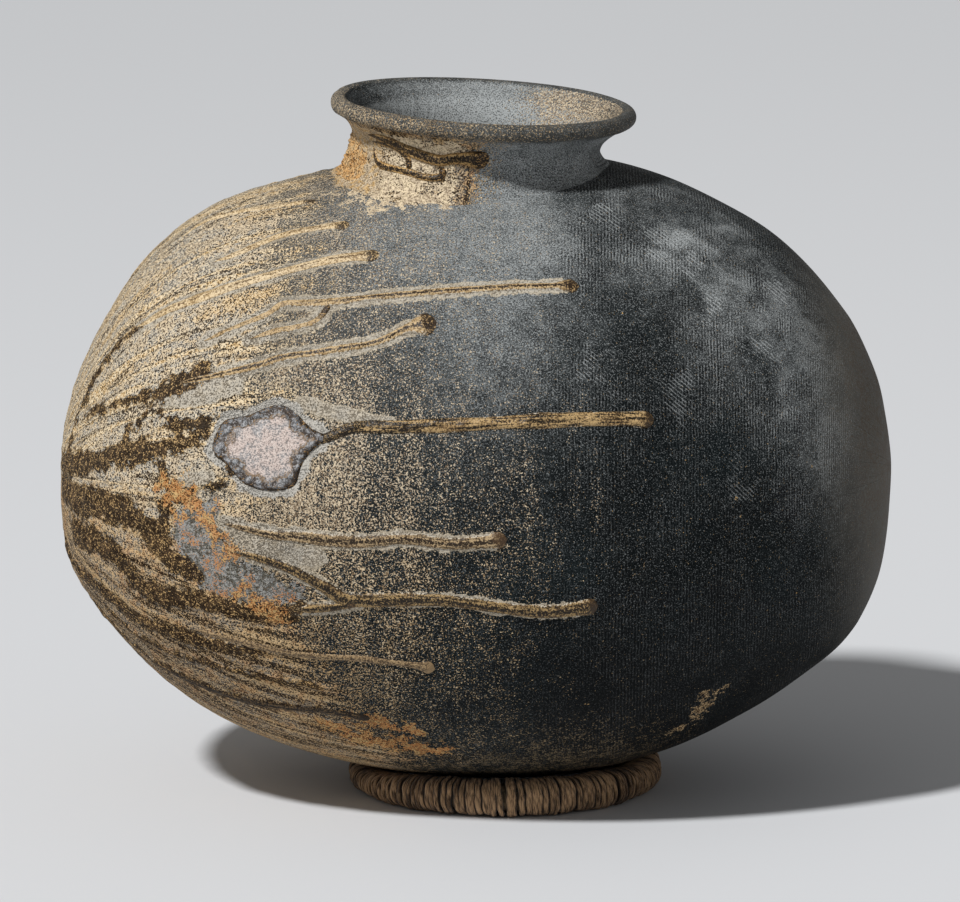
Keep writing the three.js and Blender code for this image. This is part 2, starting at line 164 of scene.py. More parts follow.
class Skin:
    """Collects grids of points with their values and faces, and makes one mesh object of them."""

    def __init__(self) -> None:
        """Starts with no points and no faces."""
        self.places: list[Array] = []
        self.normals: list[Array] = []
        self.values: list[Fields] = []
        self.faces: list[Array] = []
        self.count = 0

    def add(self, places: Array, values: Fields | None = None, normals: Array | None = None) -> Array:
        """Adds a grid of points.

        Args:
            places: points, with the grid's shape and three coordinates last.
            values: numbers or vectors that the finish reads, one for each point.
            normals: outward directions of the points, where the mesh is to use them.

        Returns:
            The points' numbers, in the grid's shape.
        """
        shape = places.shape[:-1]
        size = int(np.prod(shape))
        self.places.append(places.reshape(-1, 3))
        if normals is not None:
            self.normals.append(normals.reshape(-1, 3))
        self.values.append({k: np.asarray(v, float).reshape(size, -1) for k, v in (values or {}).items()})
        index = np.arange(self.count, self.count + size).reshape(shape)
        self.count += size
        return index

    def quads(self, index: Array, around: bool = False, along: bool = False, flip: bool = False,
              keep: Array | None = None) -> None:
        """Joins neighbours of a grid in fours.

        Args:
            index: point numbers in rows and columns.
            around: whether the last column joins the first.
            along: whether the last row joins the first.
            flip: whether the faces turn over.
            keep: cells to fill, all of them if not given.
        """
        grid = np.vstack([index, index[:1]]) if along else index
        grid = np.hstack([grid, grid[:, :1]]) if around else grid
        four = np.stack([grid[:-1, :-1], grid[1:, :-1], grid[1:, 1:], grid[:-1, 1:]], -1)
        four = four.reshape(-1, 4) if keep is None else four[keep]
        self.faces.append(four[:, ::-1] if flip else four)

    def fan(self, tip: Array, loop: Array, flip: bool = False) -> None:
        """Joins a closed loop of points to one point with triangles."""
        three = np.stack([np.full(len(loop), tip), loop, np.roll(loop, -1)], -1)
        self.faces.append(three[:, ::-1] if flip else three)

    def stitch(self, fine: Array, coarse: Array, flip: bool = False) -> None:
        """Joins a closed loop to one with fewer points, a whole number of times fewer, with triangles.

        Args:
            fine: point numbers of the loop with more points.
            coarse: point numbers of the other loop, which starts beside the first.
            flip: whether the faces turn over.
        """
        ratio = len(fine) // len(coarse)
        step = np.arange(len(fine))
        owner = coarse[((step + ratio // 2) // ratio) % len(coarse)]
        near = np.stack([fine, owner, np.roll(fine, -1)], -1)
        middle = fine[np.arange(len(coarse)) * ratio + ratio // 2]
        far = np.stack([middle, coarse, np.roll(coarse, -1)], -1)
        both = np.vstack([near, far])
        self.faces.append(both[:, ::-1] if flip else both)

    def make(self, name: str) -> bpy.types.Object:
        """Makes the mesh object, in metres, at the origin.

        Args:
            name: the piece's name.

        Returns:
            The linked object. Edges that bend more than the crease stay sharp where no normals were given.
        """
        places = np.concatenate(self.places) * MM
        corners = np.concatenate([f.ravel() for f in self.faces])
        sizes = np.concatenate([np.full(len(f), f.shape[1]) for f in self.faces])
        mesh = bpy.data.meshes.new(name)
        mesh.vertices.add(len(places))
        mesh.vertices.foreach_set("co", places.astype(np.float32).ravel())
        mesh.loops.add(len(corners))
        mesh.loops.foreach_set("vertex_index", corners.astype(np.int32))
        mesh.polygons.add(len(sizes))
        mesh.polygons.foreach_set("loop_start", (np.cumsum(sizes) - sizes).astype(np.int32))
        mesh.update(calc_edges=True)
        for key in sorted({k for one in self.values for k in one}):
            self._attribute(mesh, key)
        mesh.shade_smooth()
        if self.normals:
            mesh.normals_split_custom_set_from_vertices(np.concatenate(self.normals))
        else:
            mesh.set_sharp_from_angle(angle=CREASE)
        LOG.info("%s: %d points, %d faces", name, len(places), len(sizes))
        return put_in_scene(name, mesh)

    def _attribute(self, mesh: bpy.types.Mesh, key: str) -> None:
        """Stores one named value of every point, 0 where a grid has none.

        Args:
            mesh: the mesh that gets the attribute.
            key: the value's name.
        """
        width = max(one[key].shape[1] for one in self.values if key in one)
        rows = [one.get(key, np.zeros((len(p), width))) for one, p in zip(self.values, self.places)]
        data = np.concatenate(rows).astype(np.float32)
        kind = "FLOAT" if width == 1 else "FLOAT_VECTOR"
        layer = mesh.attributes.new(key, kind, "POINT")
        layer.data.foreach_set("value" if width == 1 else "vector", data.ravel())


def place_piece(piece: bpy.types.Object, finish: Material, body: str, slot: str,
                *nodes: str) -> None:
    """Gives a piece its finish, its body and the solids that it stands for.

    Args:
        piece: the mesh object.
        finish: its material.
        body: name of the body that it moves with.
        slot: name of the record's material slot; not used.
        nodes: names of the solids that it replaces.
    """
    piece.data.materials.append(finish)
    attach(piece, body)
    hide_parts(*nodes)
    LOG.info("%s stands for %s on %s", piece.name, ", ".join(nodes), body)


@dataclass
class BarrelForm:
    """Outline of the barrel: four tangent arcs and a shallow cap, walked by length from the left pole."""

    length: float = 414.0
    belly_radius: float = 157.5
    belly_offset: float = 13.0
    clearance: float = 7.0
    left_swell: float = 12.5
    right_swell: float = 16.5
    disc_radius: float = 76.0
    disc_rise: float = 20.0
    wall: float = 8.0
    samples: int = 500

    def __post_init__(self) -> None:
        """Works out the arcs and a fine table of them: centre plus radius times (-cos, sin) of the turn."""
        self.axis = self.clearance + self.belly_radius
        self.seam_x = self.length / 2 - self.disc_rise
        left = self.belly_radius - self.left_swell
        right = self.belly_radius - self.right_swell
        left_x = left - self.length / 2
        right_x = self.seam_x - math.sqrt(right**2 - self.disc_radius**2)
        left_run = self.belly_offset - left_x
        right_run = right_x - self.belly_offset
        left_belly = self._belly_arc(left, left_run)
        right_belly = self._belly_arc(right, right_run)
        left_meet = math.acos(left_run / (left_belly - left))
        right_meet = math.pi - math.acos(right_run / (right_belly - right))
        seam = math.pi - math.asin(self.disc_radius / right)
        cap = (self.disc_radius**2 + self.disc_rise**2) / (2 * self.disc_rise)
        arcs = (
            (left_x, 0.0, left, 0.0, left_meet),
            (self.belly_offset, self.belly_radius - left_belly, left_belly, left_meet, math.pi / 2),
            (self.belly_offset, self.belly_radius - right_belly, right_belly, math.pi / 2, right_meet),
            (right_x, 0.0, right, right_meet, seam),
            (self.length / 2 - cap, 0.0, cap, math.pi - math.asin(self.disc_radius / cap), math.pi),
        )
        rows = [self._walk_arc(*arc) for arc in arcs]
        table = np.concatenate([rows[0]] + [row[1:] for row in rows[1:]])
        self.x, self.r, self.turn = table.T
        self.r[0] = self.r[-1] = 0.0
        step = np.hypot(np.diff(self.x), np.diff(self.r))
        self.s = np.concatenate([[0.0], np.cumsum(step)])

    def _belly_arc(self, dome: float, run: float) -> float:
        """Radius of the arc that touches the widest place and the dome, from their sagitta."""
        return (run**2 + self.belly_radius**2 - dome**2) / (2 * (self.belly_radius - dome))

    def _walk_arc(self, x: float, r: float, radius: float, start: float, end: float) -> Array:
        """Rows of place along the axis, distance from it and turn of the outward normal."""
        turn = np.linspace(start, end, self.samples)
        return np.stack([x - radius * np.cos(turn), r + radius * np.sin(turn), turn], 1)

    def at(self, s: Array) -> tuple[Array, Array, Array, Array]:
        """Place along the axis, distance from it and the two parts of the normal, at a walked length."""
        turn = np.interp(s, self.s, self.turn)
        return np.interp(s, self.s, self.x), np.interp(s, self.s, self.r), -np.cos(turn), np.sin(turn)

    def walk(self, x: Array) -> Array:
        """Walked length at a place along the axis."""
        return np.interp(x, self.x, self.s)

    def bulge(self, x: Array, turn: Array) -> Array:
        """How far the hand-built wall stands off the true arcs: fuller low on both ends, flatter high left.

        Args:
            x: place along the axis.
            turn: angle above the front, in radians.

        Returns:
            Distance along the normal.
        """
        drop = -np.interp(x, self.x, self.r) * np.sin(turn)
        under = ease(0.0, 50.0, drop)
        over = ease(0.0, 50.0, -drop)
        fuller = 5.0 * hill(x, 187, 22) * under + 4.0 * hill(x, -203, 16) * under
        return fuller - 2.0 * hill(x, -188, 16) * over

    def wander(self, x: Array) -> Array:
        """Height of a section's middle over the axis: the barrel is a little bent along its length."""
        return 2.4 * hill(x, -137, 40) - 1.5 * hill(x, -207, 18) - 2.0 * hill(x, 195, 35)

    def skin(self, s: Array, turn: Array, push: Array) -> Array:
        """Point of the surface: the outline turned about the axis, moved along its normal.

        Args:
            s: walked length.
            turn: angle above the front, in radians.
            push: distance off the arcs along the normal.

        Returns:
            Points, three coordinates last.
        """
        x, r, nx, nr = self.at(s)
        off = push + self.bulge(x, turn)
        reach = r + off * nr
        height = self.axis + self.wander(x) + reach * np.sin(turn)
        return points(x + off * nx, -reach * np.cos(turn), height)


class RunKind(Enum):
    """How a run of fused ash looks."""

    LINE = "dark line between cream edges"
    BEAD = "thick striped bead"
    MOTTLED = "mottled pale bead"
    FILM = "thin tan film"
    SOOT = "dark smoky line"
    TAN = "dull tan line"
    DRIP = "dark strand between ochre edges"
    DARK = "dark striped bead"


@dataclass(frozen=True)
class Run:
    """One run: its path as places along the axis and degrees above the front, and its sizes.

    Its core is pale at the first of two lengths along it and dark at the second.
    """

    node: str
    kind: RunKind
    path: Path
    width: float
    height: float
    halo: float
    tip: float
    branch: Path = ()
    dark: tuple[float, float] = (-2.0, -1.0)


def numbered(side: str, *rows: tuple) -> tuple[Run, ...]:
    """Runs of one side of the jar, named in order."""
    return tuple(Run(f"glaze_run_{side}_{n}", *row) for n, row in enumerate(rows, 1))


FRONT_RUNS = numbered(
    "front",
    (RunKind.FILM, ((-146, 79), (-134, 80.3), (-104, 75.9), (-79, 73.4)), 4.0, 0.6, 2.2, 1.1),
    (RunKind.FILM, ((-128, 59.6), (-115, 60.4), (-94, 63), (-72, 63), (-62, 62.2)), 4.4, 0.7, 3.4, 1.4),
    (RunKind.FILM, ((-166, 51.5), (-154, 51.2), (-132, 50), (-98, 51.8), (-71, 53.2), (-47, 52.9)),
     5.6, 0.8, 4.6, 1.6),
    (RunKind.LINE, ((-132, 38), (-119, 39.7), (-102, 41.9), (-93, 44), (-71, 43.2), (-20, 43.5), (24, 44.4),
                    (50, 45.3)),
     4.2, 0.9, 4.2, 2.2, ((-110, 36.8), (-98, 38), (-85, 38.6), (-77, 39.6), (-71, 42.6)), (40.0, 90.0)),
    (RunKind.LINE, ((-144, 29.3), (-130, 29.3), (-106, 30.9), (-93, 32.3), (-71, 33), (-48, 34), (-33, 36.4),
                    (-19, 37.3)),
     4.2, 0.9, 4.5, 2.6),
    (RunKind.BEAD, ((-82, 15.2), (-71, 16.3), (-59, 18), (-39, 18), (-11, 18.2), (17, 18.7), (60, 19.5),
                    (86, 19.7)),
     7.4, 1.7, 0.0, 1.3, (), (75.0, 15.0)),
    (RunKind.MOTTLED, ((-122, -2.1), (-102, -3), (-85, -2.9), (-59, -3.1), (-33, -2.2), (-12, -2.9),
                       (15, -2.1)),
     6.0, 1.2, 4.4, 1.4),
    (RunKind.DARK, ((-117, -7.8), (-93, -9.3), (-75, -12.3), (-64, -14.5), (-54, -14.5), (-17, -13.6),
                    (30, -15.7), (59, -15.2)),
     6.8, 1.5, 3.9, 1.3, ((-88, -18.2), (-70, -16.6), (-57, -15.0))),
    (RunKind.TAN, ((-138, -31.4), (-117, -29.9), (-86, -29.2), (-59, -27.8), (-33, -27.9), (-20, -28.5)),
     3.8, 0.8, 0.0, 2.0),
    (RunKind.SOOT, ((-160, -57.6), (-150, -55), (-129, -51.7), (-108, -49.2), (-76, -44.5), (-52, -44.3)),
     5.0, 0.3, 0.0, 1.0),
)

BACK_RUNS = numbered(
    "back",
    (RunKind.FILM, ((-156, 108), (-130, 109), (-98, 107), (-72, 107)), 4.4, 0.7, 2.6, 1.3),
    (RunKind.LINE, ((-150, 127), (-110, 126), (-64, 129), (-16, 129), (28, 130)), 4.2, 0.9, 4.2, 2.2),
    (RunKind.LINE, ((-164, 147), (-120, 145), (-76, 146), (-30, 145)), 4.2, 0.9, 4.2, 2.2),
    (RunKind.BEAD, ((-140, 164), (-90, 163), (-40, 165), (20, 165), (66, 166)),
     7.4, 1.7, 3.4, 1.3, (), (75.0, 15.0)),
    (RunKind.MOTTLED, ((-122, 182.1), (-102, 183), (-59, 183.1), (-33, 182.2), (-12, 182.9), (15, 182.1)),
     5.6, 1.2, 5.0, 1.4),
    (RunKind.SOOT, ((-120, 208), (-92, 207), (-62, 211), (-36, 210)), 5.0, 0.6, 0.0, 1.1),
)

# Bands of umber crust: half width, then the path
CRUST_BANDS: Bands = (
    (4.2, ((-205, 14.3), (-192, 12), (-179, 13.4), (-161, 13.8), (-146, 14.4), (-130, 17.3))),
    (5.0, ((-153, 27.8), (-144, 29.5), (-133, 30.9))),
    (2.4, ((-192, 34), (-180, 30.6), (-168, 29.6), (-153, 28.9))),
    (4.2, ((-205, -10), (-190, -5), (-181, -3), (-166, -4), (-156, -8), (-150, -13), (-138, -15))),
    (4.4, ((-197, -26), (-186, -20), (-175, -20), (-164, -26), (-153, -25.4), (-136, -22.7), (-119, -21.5),
           (-102, -20.8), (-86, -18.3))),
    (1.2, ((-201, 30), (-196, 42), (-188, 50), (-180, 52.7), (-165, 51.6))),
    (2.8, ((-202, -60), (-187, -43), (-166, -39.6), (-135, -34), (-106, -31))),
    (3.0, ((-190, -66), (-160, -57.6), (-150, -55), (-129, -51.7), (-108, -49.2), (-76, -44.5),
           (-56, -44.3))),
    (1.1, ((-188, -53), (-160, -47), (-130, -41), (-100, -38), (-70, -37))),
    (2.6, ((-154, 23.4), (-148, 20.4), (-142, 19.4), (-128, 19.9))),
    (2.2, ((-146, 2.6), (-139, 3.8), (-127, 5.4), (-118, 9.3))),
    (2.4, ((-158, -11), (-152, -4), (-150, 4), (-154, 12))),
    (2.0, ((-176, 13.5), (-170, 20), (-160, 24), (-154, 28))),
    (3.0, ((-204, 160), (-180, 152), (-150, 155), (-120, 158))),
    (3.6, ((-205, 196), (-178, 192), (-150, 196), (-126, 190))),
    (3.0, ((-200, 232), (-172, 226), (-140, 222), (-104, 214))),
)

SCAR_EDGE: Path = (
    (-127, 15.7), (-122, 19.5), (-110, 20.7), (-99, 22.5), (-91, 22.4), (-86, 20.6), (-79, 17.9), (-72, 16.2),
    (-80, 13.5), (-85, 9.8), (-88, 6.7), (-97, 5.7), (-108, 5.9), (-114, 7.1), (-120, 10), (-128, 12.9),
)
FLAKE_EDGE: Path = (
    (-147, 0.4), (-127, 2.6), (-122, -3.7), (-110, -9.3), (-85, -13.9), (-90, -17.6), (-120, -20),
    (-138, -17), (-147, -8.5),
)
RUST_SPOTS: Bands = (
    (8.0, ((-148, 3.4), (-138, 1.6))),
    (4.0, ((-128, -4), (-116, -9))),
    (6.5, ((-70, -50), (-45, -53), (-20, -54))),
    (4.0, ((-112, -17), (-96, -20))),
    (5.0, ((-60, -44), (-30, -48))),
    (7.0, ((-120, 172), (-100, 176))),
)
TAN_SCUFF: Path = ((102, -57), (108, -51), (116, -46.5))

# Pale islands of ash between the bands: half width, then the path
ISLANDS: Bands = (
    (6.5, ((-150, 27), (-136, 26), (-118, 27.5))),
    (4.0, ((-138, 19), (-132, 18))),
    (4.0, ((-142, 6.5), (-130, 7.5))),
    (6.0, ((-116, -5.5), (-98, -7), (-78, -6.5))),
    (4.2, ((-84, 22.6), (-70, 21.2), (-58, 19.8), (-42, 18.3))),
)

# Where dense ground ends: degrees above the front, and place along the axis
GROUND_EDGE: Path = (
    (-180, -105), (-150, -90), (-120, -60), (-90, -30), (-70, -30), (-55, -40), (-40, -62), (-20, -92),
    (0, -108), (15, -110), (30, -104), (45, -98), (60, -92), (75, -88), (90, -88), (120, -92), (150, -100),
    (180, -105),
)

# Round patches: strength, place along the axis and its spread, degrees above the front and their spread
# Bloom patches are pale clay with painted sheen over it; the one at 170 along the axis is a painted band of
# light near the right end
BLOOMS_AND_SHEEN: Sequence[Patch] = (
    (0.55, 140, 46, 50, 26), (0.42, 170, 26, 20, 24), (0.45, 4, 40, 30, 17), (0.50, -50, 42, 64, 24),
    (0.50, 60, 80, 120, 30), (0.38, 104, 34, 66, 18),
)
SMOKED: Sequence[Patch] = ((0.85, -180, 36, -8, 22), (0.50, -150, 46, -40, 18))
# Beaten hatching, whose lines get painted glints
BEATEN_AND_GLINTS: Sequence[Patch] = tuple((0.28, at, 11, angle, 5.5) for at, angle in (
    (85, 59.7), (105, 58.5), (147, 58.4), (139, 38.4), (118, 46), (62, 64), (96, 26), (60, 30), (130, 8),
))
# A pale smear on the right shoulder, painted as a highlight
PALE_SMEAR_AND_HIGHLIGHT: Path = ((90, 56.9), (105, 64.7), (131, 76.9))

# Cream ash around the front left of the neck's foot, and ochre at its left
FOOT_ASH: Path = ((-70, 82.6), (-63, 75.7), (-51, 69.9), (-36, 66.5))
FOOT_OCHRE: Path = ((-68, 96), (-70, 87), (-66, 78))

# Where the ash speckle ends: degrees above the front, and place along the axis
ASH_EDGE: Path = (
    (-180, 40), (-160, 30), (-140, 10), (-120, -20), (-90, -50), (-70, -38), (-58, -30), (-46, -6), (-25, 14),
    (-10, 28), (5, 34), (20, 24), (35, 4), (50, 2), (65, 4), (80, 4), (100, 0), (120, -4), (140, 10),
    (160, 25), (180, 40),
)


def edge_at(degrees: Array, edge: Path) -> Array:
    """Place along the axis where a layer of ash ends, at degrees above the front."""
    return np.interp(degrees, *np.transpose(edge))


def patches(x: Array, degrees: Array, spots: Sequence[Patch]) -> Array:
    """Sum of round patches: strength times a bell along the axis times a bell around it."""
    return sum(a * hill(x, at, wide) * hill(degrees, angle, tall) for a, at, wide, angle, tall in spots)


@dataclass
class KilnMarks:
    """What the fire left on the barrel, together with painted sheen, glints and fill light, as fields over
    its surface, and the surface with its relief.
    """

    form: BarrelForm
    far: float = 20.0
    ring_low: float = 18.0
    ring_high: float = 44.0

    def distance(self, s: Array, turn: Array, path: Path, closed: bool = False, count: int = 40,
                 trim: float = 0.0) -> Array:
        """Distance over the surface from points to a path: the least distance to its short straight pieces.

        Args:
            s: walked lengths of the points.
            turn: their angles, in radians.
            path: places along the axis and degrees above the front.
            closed: whether the path comes back to its start.
            count: straight pieces to cut it into.
            trim: length along the axis that is left off its end.

        Returns:
            Millimetres, no more than the far distance.
        """
        line = smooth_path(list(path) + [path[0]] if closed else path, count)
        if trim:
            line = line[line[:, 0] < path[-1][0] - trim]
        walked = self.form.walk(line[:, 0])
        angle = np.radians(line[:, 1])
        middle = (angle.min() + angle.max()) / 2
        swing = np.mod(turn - middle + math.pi, TAU) - math.pi
        r = self.form.at(s)[1]
        near = (s > walked.min() - self.far) & (s < walked.max() + self.far)
        near &= r * np.abs(swing) < r * np.ptp(angle) / 2 + self.far
        where = np.nonzero(near)[0]
        best = np.full(len(where), self.far)
        here_s, here_a, here_r = s[where], swing[where] + middle, r[where]
        for k in range(len(line) - 1):
            along = walked[k + 1] - walked[k]
            across = here_r * (angle[k + 1] - angle[k])
            du = here_s - walked[k]
            dv = here_r * (here_a - angle[k])
            part = np.clip((du * along + dv * across) / (along**2 + across**2 + 1e-9), 0.0, 1.0)
            best = np.minimum(best, np.hypot(du - part * along, dv - part * across))
        out = np.full(len(s), self.far)
        out[where] = best
        return out

    def inside(self, s: Array, turn: Array, edge: Path) -> Array:
        """Signed distance to a closed edge: positive inside, where a line to one side crosses it an odd
        number of times.

        Args:
            s: walked lengths of the points.
            turn: their angles, in radians.
            edge: places along the axis and degrees above the front.

        Returns:
            Millimetres, limited to the far distance.
        """
        line = smooth_path(list(edge) + [edge[0]], 60)
        walked, angle = self.form.walk(line[:, 0]), np.radians(line[:, 1])
        swing = np.mod(turn + math.pi, TAU) - math.pi
        odd = np.zeros(len(s), bool)
        for k in range(len(line) - 1):
            crosses = (angle[k] > swing) != (angle[k + 1] > swing)
            slope = (walked[k + 1] - walked[k]) / (angle[k + 1] - angle[k] + 1e-12)
            odd ^= crosses & (s < walked[k] + (swing - angle[k]) * slope)
        return np.where(odd, 1.0, -1.0) * self.distance(s, turn, edge, closed=True, count=60)

    def bands(self, s: Array, turn: Array, bands: Bands) -> list[Array]:
        """Millimetres inside each of several bands: its half width less the distance to its path."""
        return [half - self.distance(s, turn, path) for half, path in bands]

    def fields(self, s: Array, turn: Array) -> Fields:
        """Everything the finish needs to know about points of the barrel.

        Args:
            s: walked lengths of the points.
            turn: their angles, in radians.

        Returns:
            Named numbers, most of them millimetres inside the edge of a mark.
        """
        x, r, _, _ = self.form.at(s)
        degrees = np.degrees(np.mod(turn + math.pi, TAU) - math.pi)
        halos = [run.halo - self.distance(s, turn, run.path, trim=0.5 * run.width * run.tip + 2.5)
                 for run in FRONT_RUNS + BACK_RUNS if run.halo]
        halos += self.bands(s, turn, [(run.halo, run.branch) for run in FRONT_RUNS if run.branch])
        halos += self.bands(s, turn, ISLANDS)
        # The pale bloom and painted sheen under the neck fade past an edge that slants down to the right
        past = ease(-14, 18, x - 27 - 0.92 * (75 - degrees))
        bloom = hill(x, 22, 62) * hill(degrees, 62, 26) * (1 - 0.5 * past) + patches(x, degrees, BLOOMS_AND_SHEEN)
        bloom += 0.22 * ease(-4, 4, 4.0 - self.distance(s, turn, PALE_SMEAR_AND_HIGHLIGHT))
        smoke = patches(x, degrees, SMOKED) + 0.4 * hill(x, -205, 14)
        return {
            "flow": points(s, FLOW_RADIUS * np.cos(turn), FLOW_RADIUS * np.sin(turn)),
            "ash": edge_at(degrees, ASH_EDGE) - x,
            "ground": edge_at(degrees, GROUND_EDGE) - x,
            "smoke": np.minimum(smoke, 1.0),
            "beaten": patches(x, degrees, BEATEN_AND_GLINTS),
            "fringe": np.max(halos, axis=0),
            "crust": np.max(self.bands(s, turn, CRUST_BANDS), axis=0),
            "cream": 5.0 - self.distance(s, turn, FOOT_ASH),
            "ochre": 3.5 - self.distance(s, turn, FOOT_OCHRE),
            "scar": self.inside(s, turn, SCAR_EDGE),
            "rust": np.max(self.bands(s, turn, RUST_SPOTS), axis=0),
            "flake": self.inside(s, turn, FLAKE_EDGE),
            "scuff": 4.0 - self.distance(s, turn, TAN_SCUFF),
            "bloom": 0.58 * np.minimum(bloom, 1.0),
            # Share of the right end: its worn colour, and the painted fill light that lifts it to a paler
            # grey
            "worn": ease(148, 210, x + 10 * np.sin(turn)),
            "inside": np.zeros(len(s)),
        }

    def relief(self, s: Array, turn: Array, marks: Fields) -> Array:
        """How far the surface stands off its arcs: slow unevenness, beaten flats and lumps of crust.

        Args:
            s: walked lengths of the points.
            turn: their angles, in radians.
            marks: the fields at the points.

        Returns:
            Millimetres along the normal.
        """
        x, r, _, _ = self.form.at(s)
        places = points(x, -r * np.cos(turn), r * np.sin(turn))
        uneven = noises(places, (0.8, 95.0, 3), (0.4, 44.0, 5))
        beaten = 0.55 * lattice_noise(places, 23.0, 7) * ease(-20, 70, x)
        covered = ease(10, 170, marks["ash"])
        lumps = noises(places, (0.34, 8.0, 11), (0.3, 3.6, 13)) * covered
        raised = 0.75 * ease(-1.6, 1.2, marks["crust"] + 1.6 * lattice_noise(places, 5.0, 17))
        raised *= 0.75 + 0.6 * lattice_noise(places, 3.2, 19)
        halo = 0.3 * ease(-0.6, 0.8, marks["fringe"])
        height = self.form.axis + r * np.sin(turn)
        return (uneven + beaten + lumps + raised + halo) * ease(self.ring_low, self.ring_high, height)

    def skin(self, s: Array, turn: Array, lift: Array | float = 0.0) -> tuple[Array, Fields]:
        """Points of the marked surface, lifted off it, and their fields.

        Args:
            s: walked lengths, in any shape.
            turn: angles in radians, in the same shape.
            lift: distance off the surface.

        Returns:
            Points and named fields, in that shape.
        """
        shape = np.shape(s)
        flat_s, flat_t = np.ravel(s), np.ravel(turn)
        marks = self.fields(flat_s, flat_t)
        push = self.relief(flat_s, flat_t, marks) + np.ravel(np.broadcast_to(lift, shape))
        places = self.form.skin(flat_s, flat_t, push).reshape(*shape, 3)
        return places, {name: v.reshape(*shape, *v.shape[1:]) for name, v in marks.items()}


def bare_clay(places: Array) -> Fields:
    """Fields of the unseen inside, which no ash reached.

    Args:
        places: points, three coordinates last.

    Returns:
        The same names as the barrel's fields.
    """
    marks = ("fringe", "crust", "cream", "ochre", "scar", "rust", "flake", "scuff")
    levels = dict.fromkeys(marks, NO_MARK) | dict.fromkeys(("ash", "ground"), NO_ASH)
    levels |= dict.fromkeys(("worn", "smoke", "beaten"), 0.0) | {"bloom": 0.12, "inside": 1.0}
    return {"flow": places} | {name: np.full(places.shape[:-1], level) for name, level in levels.items()}


def directions(places: Array) -> Array:
    """Unit normals of a grid that closes around its columns: the cross product of its two differences.

    Args:
        places: points in rows and columns, three coordinates last.

    Returns:
        Normals in the same shape.
    """
    down = np.gradient(places, axis=0)
    around = np.roll(places, -1, 1) - np.roll(places, 1, 1)
    normal = np.cross(down, around)
    return normal / np.maximum(np.linalg.norm(normal, axis=-1, keepdims=True), 1e-9)


